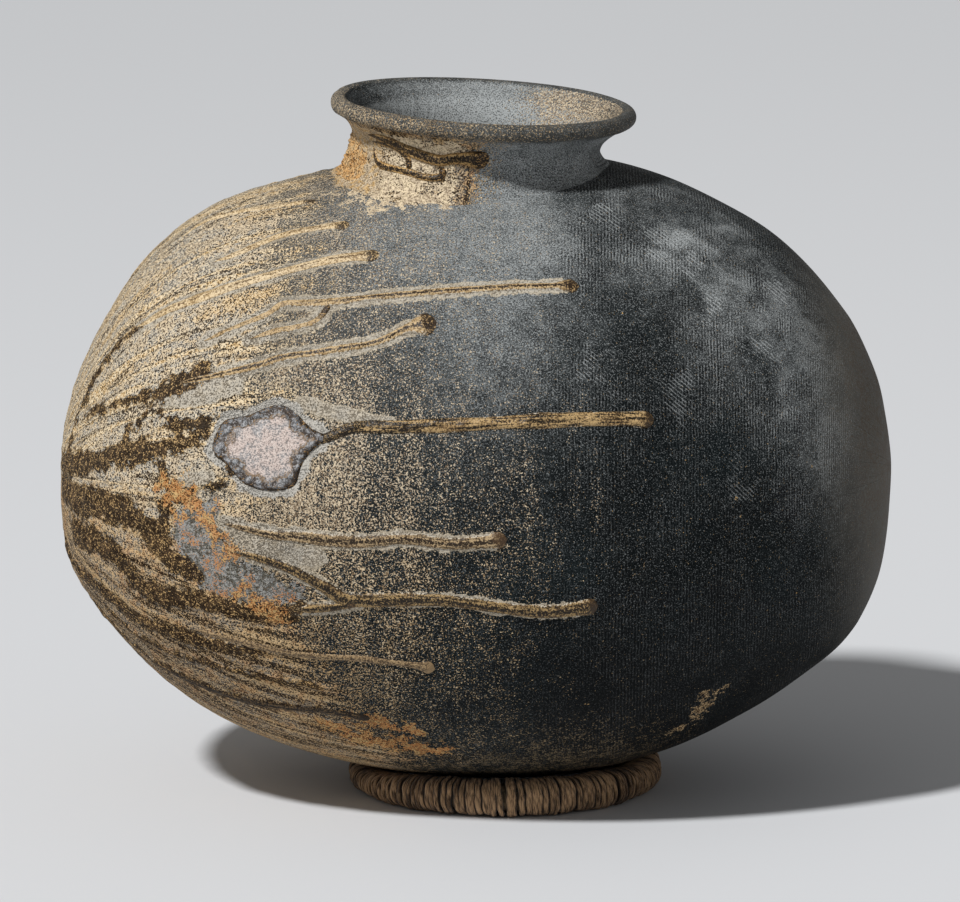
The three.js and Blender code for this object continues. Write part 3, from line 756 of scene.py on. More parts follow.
@dataclass
class Barrel:
    """The wall of the jar: an end bowl, a belly course, a shoulder course and a closing disc.

    The outer faces of all four are rows of one grid, so they meet without a step.
    """

    marks: KilnMarks
    columns: int = 640
    thinning: int = 4
    row_step: float = 1.55
    left_seam: float = -83.0
    right_seam: float = 85.0
    pole_reach: float = 36.0
    pole_gap: float = 1.2
    hole_x: float = 1.0
    hole_radius: float = 64.0
    window_rows: int = 8
    window_columns: int = 48
    patch_rows: int = 10

    def __post_init__(self) -> None:
        """Walks the outline in rows and works out the grid of the whole outer face."""
        form = self.marks.form
        half = len(form.s) // 2
        left_pole = float(np.interp(self.pole_reach, form.r[:half], form.s[:half]))
        right_pole = float(np.interp(-self.pole_reach, -form.r[half:], form.s[half:]))
        seams = form.walk(np.array([self.left_seam, self.right_seam, form.seam_x]))
        stops = [self.pole_gap, left_pole, *seams, right_pole, form.s[-1] - self.pole_gap]
        parts = []
        self.ends = [0]
        for start, stop in zip(stops[:-1], stops[1:]):
            count = self.thinning * math.ceil((stop - start) / self.row_step / self.thinning)
            parts.append(np.linspace(start, stop, count, endpoint=False))
            self.ends.append(self.ends[-1] + count)
        self.rows = np.concatenate([*parts, [stops[-1]]])
        self.turns = circle(self.columns)
        walked, turned = np.meshgrid(self.rows, self.turns, indexing="ij")
        self.places, self.values = self.marks.skin(walked, turned)
        self.normals = directions(self.places)

    def _outer(self, skin: Skin, rows: slice, step: int = 1) -> Array:
        """Adds rows of the outer face, with every column or every few columns."""
        cut = (rows, slice(None, None, step))
        return skin.add(self.places[cut], {k: v[cut] for k, v in self.values.items()}, self.normals[cut])

    def _inner(self, skin: Skin, walked: Array, turned: Array) -> Array:
        """Adds points of the inner face: the arcs moved in by the wall, with the opposite normals.

        Args:
            skin: the piece being made.
            walked: walked lengths.
            turned: angles above the front, in radians.

        Returns:
            The points' numbers.
        """
        form = self.marks.form
        places = form.skin(walked, turned, np.full(walked.shape, -form.wall))
        _, _, nx, nr = form.at(walked)
        normals = -points(nx, -nr * np.cos(turned), nr * np.sin(turned))
        return skin.add(places, bare_clay(places), normals)

    def _inner_rows(self, skin: Skin, first: int, last: int) -> Array:
        """Adds a thinned grid of the inner face between two rows of the outer one."""
        walked = self.rows[first:last + 1:self.thinning]
        return self._inner(skin, *np.meshgrid(walked, self.turns[::self.thinning], indexing="ij"))

    def _cap(self, first: int, cut: int, last: int, after: bool) -> Skin:
        """An end of the wall with both its faces: full rows, thinned rows and a fan to the pole.

        Args:
            first: its first row.
            cut: row where full and thinned rows meet.
            last: its last row.
            after: whether the pole comes after the rows.

        Returns:
            The closed piece.
        """
        skin = Skin()
        if after:
            thin_rows, full_rows, rim, pole = slice(cut, last + 1), slice(first, cut), 0, -1
        else:
            thin_rows, full_rows, rim, pole = slice(first, cut + 1), slice(cut + 1, last + 1), -1, 0
        thin = self._outer(skin, thin_rows, self.thinning)
        full = self._outer(skin, full_rows)
        inner = self._inner_rows(skin, first, last)
        skin.quads(thin, around=True)
        skin.quads(full, around=True)
        skin.quads(inner, around=True, flip=True)
        skin.stitch(full[pole], thin[rim], flip=not after)
        skin.stitch(full[rim], inner[rim], flip=after)
        s, turn = self.marks.form.s[[pole]], np.zeros(1)
        tip = skin.add(*self.marks.skin(s, turn), np.array([[1.0 if after else -1.0, 0.0, 0.0]]))
        skin.fan(tip, thin[pole], flip=after)
        skin.fan(self._inner(skin, s, turn), inner[pole], flip=not after)
        return skin

    def end_bowl(self) -> Skin:
        """The rounded left end, from its pole to the first joint."""
        return self._cap(*self.ends[:3], after=False)

    def _course(self, first: int, last: int) -> tuple[Skin, Array, Array]:
        """An open course of the wall with both its edges closed, before its faces are filled.

        Args:
            first: its first row.
            last: its last row.

        Returns:
            The piece, and the point numbers of its outer and its inner face.
        """
        skin = Skin()
        outer = self._outer(skin, slice(first, last + 1))
        inner = self._inner_rows(skin, first, last)
        skin.stitch(outer[0], inner[0], flip=True)
        skin.stitch(outer[-1], inner[-1])
        return skin, outer, inner

    def shoulder_course(self) -> Skin:
        """The course that closes in towards the disc."""
        skin, outer, inner = self._course(self.ends[3], self.ends[4])
        skin.quads(outer, around=True)
        skin.quads(inner, around=True, flip=True)
        return skin

    def closing_disc(self) -> Skin:
        """The shallow cap at the right end."""
        return self._cap(*self.ends[4:], after=True)

    def belly_course(self) -> Skin:
        """The widest course, with the round hole under the neck."""
        skin, outer, inner = self._course(self.ends[2], self.ends[3])
        edge = self._windowed(skin, outer, 1)
        skin.stitch(edge, self._windowed(skin, inner, self.thinning))
        return skin

    def _windowed(self, skin: Skin, grid: Array, step: int) -> Array:
        """Fills a face of the belly around the hole: rows blend a window's edge into a circle from above.

        Args:
            skin: the piece being made.
            grid: point numbers of the face.
            step: fine rows and columns to each one of this face: 1 is the outer face.

        Returns:
            Point numbers of the hole's edge.
        """
        start, top = self.ends[2], self.columns // 4
        last = self.ends[3] - start - self.window_rows
        window = (self.window_rows, last, top - self.window_columns, top + self.window_columns)
        i0, i1, j0, j1 = (n // step for n in window)
        keep = np.ones((grid.shape[0] - 1, grid.shape[1]), bool)
        keep[i0:i1, j0:j1] = False
        skin.quads(grid, around=True, flip=step > 1, keep=keep)
        down, over = np.arange(i0, i1), np.arange(j0, j1)
        rows = np.concatenate([np.full(len(over), i0), down, np.full(len(over), i1), down[::-1] + 1])
        cols = np.concatenate([over, np.full(len(down), j1), over[::-1] + 1, np.full(len(down), j0)])
        s, turn = self.rows[start + rows * step], self.turns[cols * step]
        x, r, _, _ = self.marks.form.at(s)
        y = -r * np.cos(turn)
        heading = np.arctan2(y, x - self.hole_x)
        part = np.linspace(0.0, 1.0, self.patch_rows + 1)[1:, None]
        plan_x = (1 - part) * x + part * (self.hole_x + self.hole_radius * np.cos(heading))
        plan_y = (1 - part) * y + part * self.hole_radius * np.sin(heading)
        patch_s = self.marks.form.walk(plan_x)
        patch_turn = np.arccos(np.clip(-plan_y / self.marks.form.at(patch_s)[1], -1.0, 1.0))
        if step > 1:
            added = self._inner(skin, patch_s, patch_turn)
        else:
            places, values = self.marks.skin(patch_s, patch_turn)
            border = self.places[start + rows, cols][None]
            normals = directions(np.concatenate([border, places]))[1:]
            added = skin.add(places, values, normals)
        skin.quads(np.vstack([grid[rows, cols][None], added]), around=True, flip=step > 1)
        return added[-1]

    def build(self, clay: Material) -> None:
        """Makes the four pieces and dresses them."""
        for name, skin, node in (
            ("bowl_wall", self.end_bowl(), "end_bowl"),
            ("belly_wall", self.belly_course(), "belly_course"),
            ("shoulder_wall", self.shoulder_course(), "shoulder_course"),
            ("disc_wall", self.closing_disc(), "closing_disc"),
        ):
            place_piece(skin.make(name), clay, JAR, "stoneware", node)


@dataclass
class Neck:
    """The luted neck: a leaning ring of clay with a coved foot, a flared side and a rounded lip.

    Headings are degrees about its axis from +X, so the front is at -90 and the left side at 180.
    """

    marks: KilnMarks
    x: float = 1.0
    tilt: float = math.radians(3.2)
    waist_radius: float = 60.6
    waist_height: float = 2.75
    flare_control: tuple[float, float] = (60.6, 11.0)
    lip_centre: tuple[float, float] = (71.8, 22.0)
    lip_radius: float = 4.2
    lip_turn: float = 0.85 * math.pi
    bore: float = 53.0
    mouth_bend: float = 16.5
    foot_plan: float = 68.5
    cove: float = 8.5
    cove_height: float = 4.0
    foot_depth: float = 3.0
    buried_radius: float = 63.4
    buried_depth: float = 7.0
    luting_gap: float = 0.3
    girth: float = 61.0
    foot_shift: float = -1.6
    lip_shift: float = 2.9
    columns: int = 400
    side_rows: int = 44
    lip_rows: int = 29
    mouth_rows: int = 23
    throat_rows: int = 12
    lip_fade: int = 6

    def __post_init__(self) -> None:
        """Samples the flared side, a quadratic curve from the waist to under the lip."""
        part = np.linspace(0.0, 1.0, 60)
        start = (self.waist_radius, self.waist_height)
        end = (self.lip_centre[0], self.lip_centre[1] - self.lip_radius)
        radius, height = self._curve(start, self.flare_control, end, part)
        self.flare = np.stack([height, radius])
        self.top = end[1]
        self.base = self.marks.form.axis + self.marks.form.belly_radius

    @staticmethod
    def _curve(a: tuple, b: tuple, c: tuple, part: Array) -> tuple[Array, Array]:
        """Quadratic curve: a(1-t)² + 2bt(1-t) + ct², for both coordinates."""
        back = 1 - part
        return tuple(p * back**2 + 2 * q * part * back + r * part**2 for p, q, r in zip(a, b, c))

    def shoulder(self, heading: Array, plan: float, depth: float) -> Array:
        """Height of the barrel's face around the neck, seen along the neck's axis.

        Args:
            heading: angles about the axis, in radians.
            plan: distance from the axis.
            depth: how far under the outer face.

        Returns:
            Heights over the neck's base.
        """
        form = self.marks.form
        x, y = self.x + plan * np.cos(heading), plan * np.sin(heading)
        reach = form.at(form.walk(x))[1] - depth
        rise = form.axis + form.wander(x) + np.sqrt(reach**2 - y**2) - self.base
        return (rise + plan * np.cos(heading) * math.sin(self.tilt)) / math.cos(self.tilt)

    def radius(self, heading: Array, height: Array) -> Array:
        """Outer radius: the flared side plus a cove that dies away up from the barrel's face."""
        rise = np.maximum(height - self.shoulder(heading, self.foot_plan, 0.0), -0.6)
        return np.interp(height, *self.flare) + self.cove * np.exp(-rise / self.cove_height)

    def point(self, radius: Array, heading: Array, height: Array) -> Array:
        """Place in the jar's frame: polar coordinates about the axis, which leans and shifts with height.

        Args:
            radius: distance from the axis.
            heading: angle about it, in radians.
            height: distance along it.

        Returns:
            Points, three coordinates last.
        """
        out = radius * np.cos(heading)
        shift = self.foot_shift + self.lip_shift * ease(3.0, 22.0, height)
        x = self.x + shift + out * math.cos(self.tilt) + height * math.sin(self.tilt)
        z = self.base - out * math.sin(self.tilt) + height * math.cos(self.tilt)
        return points(x, radius * np.sin(heading), z)

    def unrolled(self, heading: Array, height: Array) -> Array:
        """Places on a plain cylinder as wide as the waist, for noises: height, then the two ways across."""
        return points(height, self.girth * np.cos(heading), self.girth * np.sin(heading))

    def fields(self, heading: Array, height: Array, inside: Array) -> Fields:
        """Marks of the fire on the neck: pale ash front left, ochre crust left, speckle in the mouth's right,
        a pale bloom with painted sheen, painted shade under the lip and painted light inside the mouth.

        Args:
            heading: angles about the axis, in radians.
            height: heights over the base.
            inside: 1 inside the mouth and 0 outside.

        Returns:
            The same names as the barrel's fields.
        """
        turned = np.degrees(np.mod(heading, TAU)) - 360.0
        lit = np.cos(np.radians(turned + 138))
        lip = ease(15.5, 19.5, height)
        outer = -70 + 210 * ease(0.35, 0.85, lit)
        rim = -8 + 100 * ease(0.0, 0.95, lit)
        mouth = -70 + 180 * ease(0.5, 0.95, np.cos(np.radians(turned - 28)))
        pale = plateau(turned, -158, -144, -104, -90) * (1 - ease(13, 18, height))
        left = plateau(turned, -196, -180, -144, -128) * (1 - ease(14, 18, height))
        # Painted shade: a dark band just under the front and left of the lip, laid as crust
        under = plateau(turned, -184, -170, -112, -86) * hill(height, 17.5, 2.6)
        absent = np.full(np.shape(heading), NO_MARK)
        return {
            **dict.fromkeys(("fringe", "scar", "rust", "flake", "scuff"), absent),
            **dict.fromkeys(("smoke", "beaten"), 0 * height),
            "flow": self.unrolled(heading, height),
            "ash": np.where(inside > 0.5, mouth, outer * (1 - lip) + rim * lip),
            "ground": -90 + 150 * ease(0.40, 0.85, lit) * (1 - inside) * (1 - 0.55 * lip),
            "cream": -20 + 29 * pale * (1 - inside),
            # On the neck the crust value is only the painted shade under the lip
            "crust": -8 + 7.5 * under * (1 - inside),
            "ochre": -8 + 13 * left * (1 - inside),
            # Pale bloom with painted sheen; in the mouth, painted light on the back of its inside, which
            # faces the front
            "bloom": 0.56 - 0.43 * lip + inside * (0.70 * hill(turned, -270, 52) - 0.09),
            "worn": 0.45 * lip * (1 - inside),
            "inside": 0.05 * inside,
        }

    def collar(self) -> Skin:
        """The closed ring of clay: side, lip, mouth, throat and buried foot, as rows about the axis."""
        heading = circle(self.columns)
        wall = self.marks.form.wall
        face = self.shoulder(heading, self.foot_plan, 0.0)
        foot = face - self.foot_depth
        throat = self.shoulder(heading, self.bore, wall) - self.luting_gap
        low = self.shoulder(heading, self.buried_radius, wall) - self.luting_gap
        side = foot + np.linspace(0.0, 1.0, self.side_rows)[:, None] ** 1.25 * (self.top - foot)
        arc = np.linspace(-math.pi / 2, self.lip_turn, self.lip_rows + 1)[1:, None]
        lip_r = self.lip_centre[0] + self.lip_radius * np.cos(arc)
        lip_h = self.lip_centre[1] + self.lip_radius * np.sin(arc)
        part = np.linspace(0.0, 1.0, self.mouth_rows + 1)[1:, None]
        end = (float(lip_r[-1, 0]), float(lip_h[-1, 0]))
        rows = (
            (self.radius(heading + 0 * side, side), side),
            (lip_r, lip_h),
            self._curve(end, (self.bore, self.mouth_bend), (self.bore, 0.0), part),
            (self.bore, part[:self.throat_rows] / part[self.throat_rows - 1] * throat),
            (self.buried_radius, np.stack([low, face - self.buried_depth])),
        )
        radius = np.vstack([r + 0 * (h + heading) for r, h in rows])
        height = np.vstack([h + 0 * heading for _, h in rows])
        turned = heading + 0 * radius
        inside = np.zeros(radius.shape)
        first = self.side_rows + self.lip_rows
        inside[first - self.lip_fade:first] = np.linspace(0, 1, self.lip_fade)[:, None]
        inside[first:] = 1.0
        flat = np.roll(self.unrolled(turned, height), -1, -1)
        wave = lattice_noise(flat, 34.0, 23)
        fine = lattice_noise(flat, 6.0, 29)
        marks = self.fields(turned, height, inside)
        grit = 0.12 + 0.3 * ease(20, 120, marks["ash"]) * (1 - inside)
        uneven = radius + 0.45 * wave + grit * fine
        places = self.point(uneven, turned, height + 0.35 * wave * ease(14, 20, height))
        skin = Skin()
        skin.quads(skin.add(places, marks), around=True, along=True, flip=True)
        return skin

    def drape(self, heading: Array, height: Array, lift: Array) -> Array:
        """Points lifted off the neck's outer side."""
        return self.point(self.radius(heading, height) + lift, heading, height)

    def build(self, clay: Material) -> None:
        """Makes the collar and dresses it."""
        place_piece(self.collar().make("neck_wall"), clay, JAR, "stoneware", "neck_collar")


@dataclass
class Deposits:
    """Fused ash that stands on the clay: runs, the flat fragment and the thick crust beside the neck."""

    marks: KilnMarks
    neck: Neck
    sections: int = 15
    sunk: float = 0.9
    step: float = 1.1
    crust_from: float = -206.0
    crust_to: float = -146.0
    crust_plan: float = 66.0
    crust_top: float = 14.0
    crust_rise: float = 3.6
    crust_sunk: float = 2.6
    crust_rows: int = 90
    crust_columns: int = 46
    scar_rise: float = 1.9
    scar_rings: int = 26
    scar_points: int = 120

    def _outline(self, length: float, half: float, tip: float, count: int) -> tuple[Array, Array, Array]:
        """Half width and height share along a run: thin at its start, swelling to a round tip.

        Args:
            length: the run's length.
            half: half its usual width.
            tip: width of the tip as a share of the usual width.
            count: places along it.

        Returns:
            Places along, half widths and shares of the height.
        """
        along = np.linspace(0.0, length, count)
        to_go = length - along
        swell = 0.6 + 0.4 * ease(0.0, 0.3 * length, along)
        width = half * swell * (1 + (tip - 1) * hill(to_go, half * tip, half * tip * 1.3))
        end = half * tip
        width *= np.sqrt(np.clip(1 - (1 - np.clip(to_go / end, 0, 1)) ** 2, 0, 1))
        width *= np.sqrt(ease(0.0, 9.0, along + 0.15))
        rise = swell * (1 + 0.55 * hill(to_go, end, end * 1.4)) * np.sqrt(ease(0, 1.4 * end, to_go + 0.1))
        return along, width, rise

    def _strip(self, skin: Skin, along: Array, width: Array, height: Array,
               point: Callable[[Array, Array], Array], seed: int,
               dark: tuple[float, float] = (-2.0, -1.0)) -> None:
        """Adds a closed lens: a domed top over a sunk base, both carried along a path.

        Args:
            skin: the piece being made.
            along: places along the path, in millimetres.
            width: half widths there.
            height: heights there.
            point: function that gives the points from their distances aside and their lifts.
            seed: number that picks its lumps.
            dark: lengths along it where its core is pale and where it is dark.
        """
        across = np.cos(np.linspace(math.pi, 0.0, self.sections))
        under = across[1:-1][::-1]
        share = np.concatenate([across, under])
        top = np.concatenate([np.sqrt(1 - across**2) ** 1.3, -np.ones(len(under))])
        grid_a, grid_u = np.meshgrid(along, share, indexing="ij")
        lumps = 1 + 0.3 * lattice_noise(points(grid_a, grid_u * width.max() * 2, 0.0), 3.4, seed)
        lift = np.where(top > 0, top * height[:, None] * lumps, np.where(top < 0, -self.sunk, -0.25))
        places = point(grid_u * width[:, None], lift)
        values = {
            "across": grid_u, "along": grid_a, "to_go": along[-1] - grid_a,
            "wide": 0 * grid_a + width[:, None], "dark": ease(*dark, grid_a),
        }
        index = skin.add(places, values)
        skin.quads(index, around=True)
        tips = {name: v[[0, -1]].mean(axis=1) for name, v in values.items()}
        ends = skin.add(places[[0, -1]].mean(axis=1), tips)
        skin.fan(ends[0], index[0])
        skin.fan(ends[1], index[-1], flip=True)

    def _barrel_strip(self, skin: Skin, run: Run, seed: int) -> None:
        """Adds one strip on the barrel: sideways steps are taken around it, at right angles to the path.

        Args:
            skin: the piece being made.
            run: path and sizes of the strip.
            seed: number that picks its lumps.
        """
        form = self.marks.form
        sketch = smooth_path(run.path, 60)
        walked = form.walk(sketch[:, 0])
        reach = form.at(walked)[1]
        around = np.diff(np.radians(sketch[:, 1])) * (reach[1:] + reach[:-1]) / 2
        total = float(np.hypot(np.diff(walked), around).sum())
        count = int(total / self.step) + 4
        line = smooth_path(run.path, count)
        s, turn = form.walk(line[:, 0]), np.radians(line[:, 1])
        r = form.at(s)[1]
        lean = np.arctan2(np.gradient(turn) * r, np.gradient(s))
        sway = lattice_noise(points(s, 0.0, 0.0), 14.0, seed + 50)
        along, width, rise = self._outline(total, run.width / 2, run.tip, count)
        width = width * (1 + 0.16 * sway)

        def point(aside: Array, lift: Array) -> Array:
            """Points beside the path, on the marked surface."""
            off_s = s[:, None] - aside * np.sin(lean)[:, None]
            off_turn = turn[:, None] + aside * np.cos(lean)[:, None] / r[:, None]
            return self.marks.skin(off_s, off_turn, lift)[0]

        self._strip(skin, along, width, run.height * rise, point, seed, run.dark)

    def run(self, run: Run, seed: int) -> Skin:
        """One run with its branch, which is narrower and lower.

        Args:
            run: the run.
            seed: number that picks its lumps.

        Returns:
            The closed piece.
        """
        skin = Skin()
        self._barrel_strip(skin, run, seed)
        if run.branch:
            branch = replace(run, path=run.branch, width=run.width / 1.3, height=run.height * 0.7, tip=1.0)
            self._barrel_strip(skin, branch, seed + 1)
        return skin

    def neck_run(self) -> Skin:
        """The drip across the front of the neck, with the thin strands that loop under it."""
        skin = Skin()
        strands = (
            (2.9, 1.9, 1.6, ((-147, 12), (-134, 11), (-122, 7.6), (-108, 4.8), (-100, 6.4), (-92, 7.0),
                             (-84, 6.0))),
            (1.8, 1.2, 1.0, ((-146, 6), (-141, -1.5), (-128, -2.6), (-121, -3.0), (-114, -4.2),
                             (-106, -3.2), (-105, 1))),
            (1.7, 1.1, 1.0, ((-146, 8.5), (-133, 8.8), (-124, 4.6), (-122, -1))),
        )
        girth = self.neck.girth
        for seed, (half, height, tip, path) in enumerate(strands):
            line = smooth_path(path, 90)
            heading, level = np.radians(line[:, 0]), line[:, 1]
            step = np.hypot(np.gradient(heading) * girth, np.gradient(level))
            lean = np.arctan2(np.gradient(level), np.gradient(heading) * girth)
            along, width, rise = self._outline(float(step.sum()), half, tip, len(line))

            def point(aside: Array, lift: Array) -> Array:
                """Points beside the path, on the neck's side."""
                turned = heading[:, None] - aside * np.sin(lean)[:, None] / girth
                return self.neck.drape(turned, level[:, None] + aside * np.cos(lean)[:, None], lift)

            self._strip(skin, along, width, height * rise, point, 70 + seed)
        return skin

    def neck_crust(self) -> Skin:
        """Granular ash heaped on the left side of the neck: a grid lifted by a bell and by noise."""
        skin = Skin()
        turned = np.radians(np.linspace(self.crust_from, self.crust_to, self.crust_rows))
        heading, level = np.meshgrid(turned, np.linspace(0, 1, self.crust_columns), indexing="ij")
        foot = self.neck.shoulder(heading, self.crust_plan, 0.0)
        height = foot + level * (self.crust_top - foot)
        share = hill(np.degrees(heading), -172, 17) * hill(level, 0.3, 0.42)
        grit = noises(points(np.degrees(heading), height, 0.0), (1.0, 3.2, 31), (0.7, 1.5, 37))
        lift = self.crust_rise * share * (1 + 0.35 * grit) + 0.5 * grit * ease(0.15, 0.5, share) - self.sunk
        top = self.neck.drape(heading, height, lift)
        base = self.neck.drape(heading, height, np.full(heading.shape, -self.crust_sunk))
        upper = skin.add(top)
        lower = skin.add(base)
        skin.quads(upper)
        skin.quads(lower, flip=True)
        border = [np.s_[:, 0], np.s_[-1, :], np.s_[::-1, -1], np.s_[0, ::-1]]
        loop_up = np.concatenate([upper[cut][:-1] for cut in border])
        loop_low = np.concatenate([lower[cut][:-1] for cut in border])
        skin.quads(np.stack([loop_up, loop_low]), around=True)
        return skin

    def scar(self) -> Skin:
        """The flat fragment: rings from its middle to its edge, raised inside and beaded at the rim."""
        form = self.marks.form
        edge = smooth_path(list(SCAR_EDGE) + [SCAR_EDGE[0]], self.scar_points + 1)[:-1]
        middle = edge.mean(axis=0)
        share = np.linspace(0.0, 1.0, self.scar_rings + 1)[1:, None]
        x = middle[0] + (edge[:, 0] - middle[0]) * share
        turn = np.radians(middle[1] + (edge[:, 1] - middle[1]) * share)
        s = form.walk(x)
        pits = noises(points(s, FLOW_RADIUS * turn, 0.0), (1.0, 5.0, 41), (0.8, 2.2, 43))
        border = hill(share, 0.9, 0.1)
        lift = self.scar_rise * (1 - ease(0.86, 1.0, share) ** 2)
        lift = lift + 0.28 * pits + border * (0.5 + 0.5 * pits) - 0.2
        top = self.marks.skin(s, turn, lift)[0]
        base = self.marks.skin(s[-1:], turn[-1:], -self.sunk)[0]
        skin = Skin()
        upper = skin.add(top, {"across": share + 0 * s})
        lower = skin.add(base, {"across": np.ones((1, self.scar_points))})
        skin.quads(np.vstack([upper, lower]), around=True, flip=True)
        ends = skin.add(np.stack([top[0].mean(axis=0), base[0].mean(axis=0) + (0.0, 3.0, -0.6)]))
        skin.fan(ends[0], upper[0], flip=True)
        skin.fan(ends[1], lower[0])
        return skin

    def build(self, finishes: dict[RunKind, Material], scar: Material,
              crust: Material) -> None:
        """Makes every deposit and dresses it.

        Args:
            finishes: the finish of each kind of run.
            scar: finish of the fragment.
            crust: finish of the crust beside the neck.
        """
        for seed, run in enumerate(FRONT_RUNS + BACK_RUNS):
            piece = self.run(run, 100 + 3 * seed).make(run.node.replace("glaze_run", "ash_run"))
            place_piece(piece, finishes[run.kind], JAR, "ash_glaze", run.node)
        drip = self.neck_run().make("neck_drip")
        place_piece(drip, finishes[RunKind.DRIP], JAR, "ash_glaze", "neck_glaze_run")
        place_piece(self.neck_crust().make("neck_crust"), crust, JAR, "ash_glaze", "neck_ash_crust")
        place_piece(self.scar().make("fused_fragment"), scar, JAR, "fragment", "kiln_scar")


@dataclass
class CordRing:
    """The resting ring: a padded core with a twine wound round it, pressed flat where the jar lies on it."""

    form: BarrelForm
    x: float = 14.5
    radius: float = 69.5
    half_width: float = 9.3
    full_height: float = 18.8
    press_reach: float = 64.3
    seat_gap: float = 0.4
    soft: float = 1.5
    square: float = 0.8
    turns: int = 168
    steps: int = 44
    sides: int = 10
    twine: float = 1.4
    ply_pitch: float = 8.5
    ply_swell: float = 0.13
    overlap: float = 0.56
    sway: float = 1.3
    proud: float = 0.6
    proud_limit: float = 0.25
    seam_turn: float = 0.03
    core_rows: int = 120
    core_columns: int = 24

    def height(self, turn: Array) -> Array:
        """Height of the ring: the lesser of its own and the jar's underside, blended smoothly.

        Args:
            turn: angles about the ring's axis.

        Returns:
            Millimetres over the table.
        """
        x = self.x + self.press_reach * np.cos(turn)
        reach = self.form.at(self.form.walk(x))[1]
        under = self.form.axis - np.sqrt(reach**2 - (self.press_reach * np.sin(turn)) ** 2) - self.seat_gap
        gap = np.maximum(self.soft - np.abs(under - self.full_height), 0) / self.soft
        return np.minimum(under, self.full_height) - gap**2 * self.soft / 4

    def section(self, turn: Array, around: Array, inset: Array) -> tuple[Array, Array]:
        """Distance from the ring's axis and height of its section: an ellipse with fuller corners.

        Args:
            turn: angles about the ring's axis.
            around: angles about the section.
            inset: distance inside the ring's outline.

        Returns:
            Distances and heights.
        """
        half = self.height(turn) / 2
        wide = np.sign(np.cos(around)) * np.abs(np.cos(around)) ** self.square
        high = np.sign(np.sin(around)) * np.abs(np.sin(around)) ** self.square
        return self.radius + (self.half_width - inset) * wide, half + (half - inset) * high

    def winding(self) -> Skin:
        """The twine: an oval tube carried along a helix around the section, swelling with its two plies."""
        count = self.turns * self.steps
        n = np.arange(count)
        around = -TAU * n / self.steps
        lap = TAU * n / count
        flat = points(self.radius * lap, 0.0, 0.0)
        jitter = noises(flat, (1.0, 5.2, 61), (0.6, 2.4, 67))
        seam = ease(0.0, self.seam_turn, np.minimum(lap, TAU - lap))
        turn = lap + self.sway * jitter * seam / self.radius
        proud = self.proud * seam * noises(flat, (1.0, 6.5, 71), (0.5, 2.9, 73))
        rho, z = self.section(turn, around, self.twine - np.minimum(proud, self.proud_limit))
        middle = points(self.x + rho * np.cos(turn), rho * np.sin(turn), z)
        tangent = np.roll(middle, -1, 0) - np.roll(middle, 1, 0)
        tangent /= np.linalg.norm(tangent, axis=1, keepdims=True)
        out_x, out_y = self.radius * np.cos(turn), self.radius * np.sin(turn)
        outward = middle - points(self.x + out_x, out_y, self.height(turn) / 2)
        outward -= tangent * np.sum(outward * tangent, axis=1, keepdims=True)
        outward /= np.linalg.norm(outward, axis=1, keepdims=True)
        beside = np.cross(tangent, outward)
        step = np.linalg.norm(np.roll(middle, -1, 0) - middle, axis=1)
        along = np.cumsum(step) - step[0]
        angle = circle(self.sides)
        ply = np.cos(2 * angle + TAU * along[:, None] / self.ply_pitch)
        pitch = TAU * rho / self.turns
        swell = 1 + self.ply_swell * ply
        high = self.twine * swell * np.cos(angle)
        wide = self.overlap * pitch[:, None] * swell * np.sin(angle)
        places = middle[:, None] + outward[:, None] * high[..., None] + beside[:, None] * wide[..., None]
        places[..., 2] = np.maximum(places[..., 2], 0.0)
        lap_number = n // self.steps
        tone = 0.5 * hashed(points(lap_number, 0, 0), 79) + 0.7 * hashed(points(lap_number // 3, 0, 0), 83)
        skin = Skin()
        values = {
            "ply": ply,
            "tone": tone[:, None] + 0 * ply,
            "deep": np.cos(angle) + 0 * ply,
            "fibre": points(along[:, None], 3 * np.cos(angle), 3 * np.sin(angle)),
        }
        skin.quads(skin.add(places, values), around=True, along=True, flip=True)
        return skin

    def core(self) -> Skin:
        """The padded core under the twine: the same section, set in."""
        turn, around = np.meshgrid(circle(self.core_rows), circle(self.core_columns), indexing="ij")
        rho, z = self.section(turn, around, np.full(turn.shape, 2 * self.twine))
        skin = Skin()
        places = points(self.x + rho * np.cos(turn), rho * np.sin(turn), z)
        skin.quads(skin.add(places), around=True, along=True)
        return skin

    def build(self, cord: Material, padding: Material) -> None:
        """Makes the winding and the core and dresses them."""
        place_piece(self.winding().make("twine_winding"), cord, RING, "cord", "ring_winding")
        place_piece(self.core().make("padded_core"), padding, RING, "padding", "ring_core")


class Value:
    """What one output socket gives over a surface, with arithmetic that adds Math nodes."""

    def __init__(self, paint: "Paint", socket: bpy.types.NodeSocket) -> None:
        """Holds the socket and the node tree that it is in."""
        self.paint = paint
        self.socket = socket

    def __add__(self, other: "Value | float") -> "Value":
        """Sum."""
        return self.paint.math("ADD", self, other)

    def __sub__(self, other: "Value | float") -> "Value":
        """Difference."""
        return self.paint.math("SUBTRACT", self, other)

    def __rsub__(self, other: float) -> "Value":
        """A number less this value."""
        return self.paint.math("SUBTRACT", other, self)

    def __mul__(self, other: "Value | float") -> "Value":
        """Product."""
        return self.paint.math("MULTIPLY", self, other)

    __radd__ = __add__
    __rmul__ = __mul__

    def __abs__(self) -> "Value":
        """Size without its sign."""
        return self.paint.math("ABSOLUTE", self)

    def sine(self) -> "Value":
        """Sine of the value in radians."""
        return self.paint.math("SINE", self)

    def most(self, other: "Value | float") -> "Value":
        """Greater of two."""
        return self.paint.math("MAXIMUM", self, other)

    def step(self, low: float, high: float) -> "Value":
        """Smooth step from 0 at low to 1 at high, or down again where low is the greater."""
        return self.paint.node(
            "ShaderNodeMapRange", {"interpolation_type": "SMOOTHSTEP"},
            {"Value": self, "From Min": low, "From Max": high},
        )


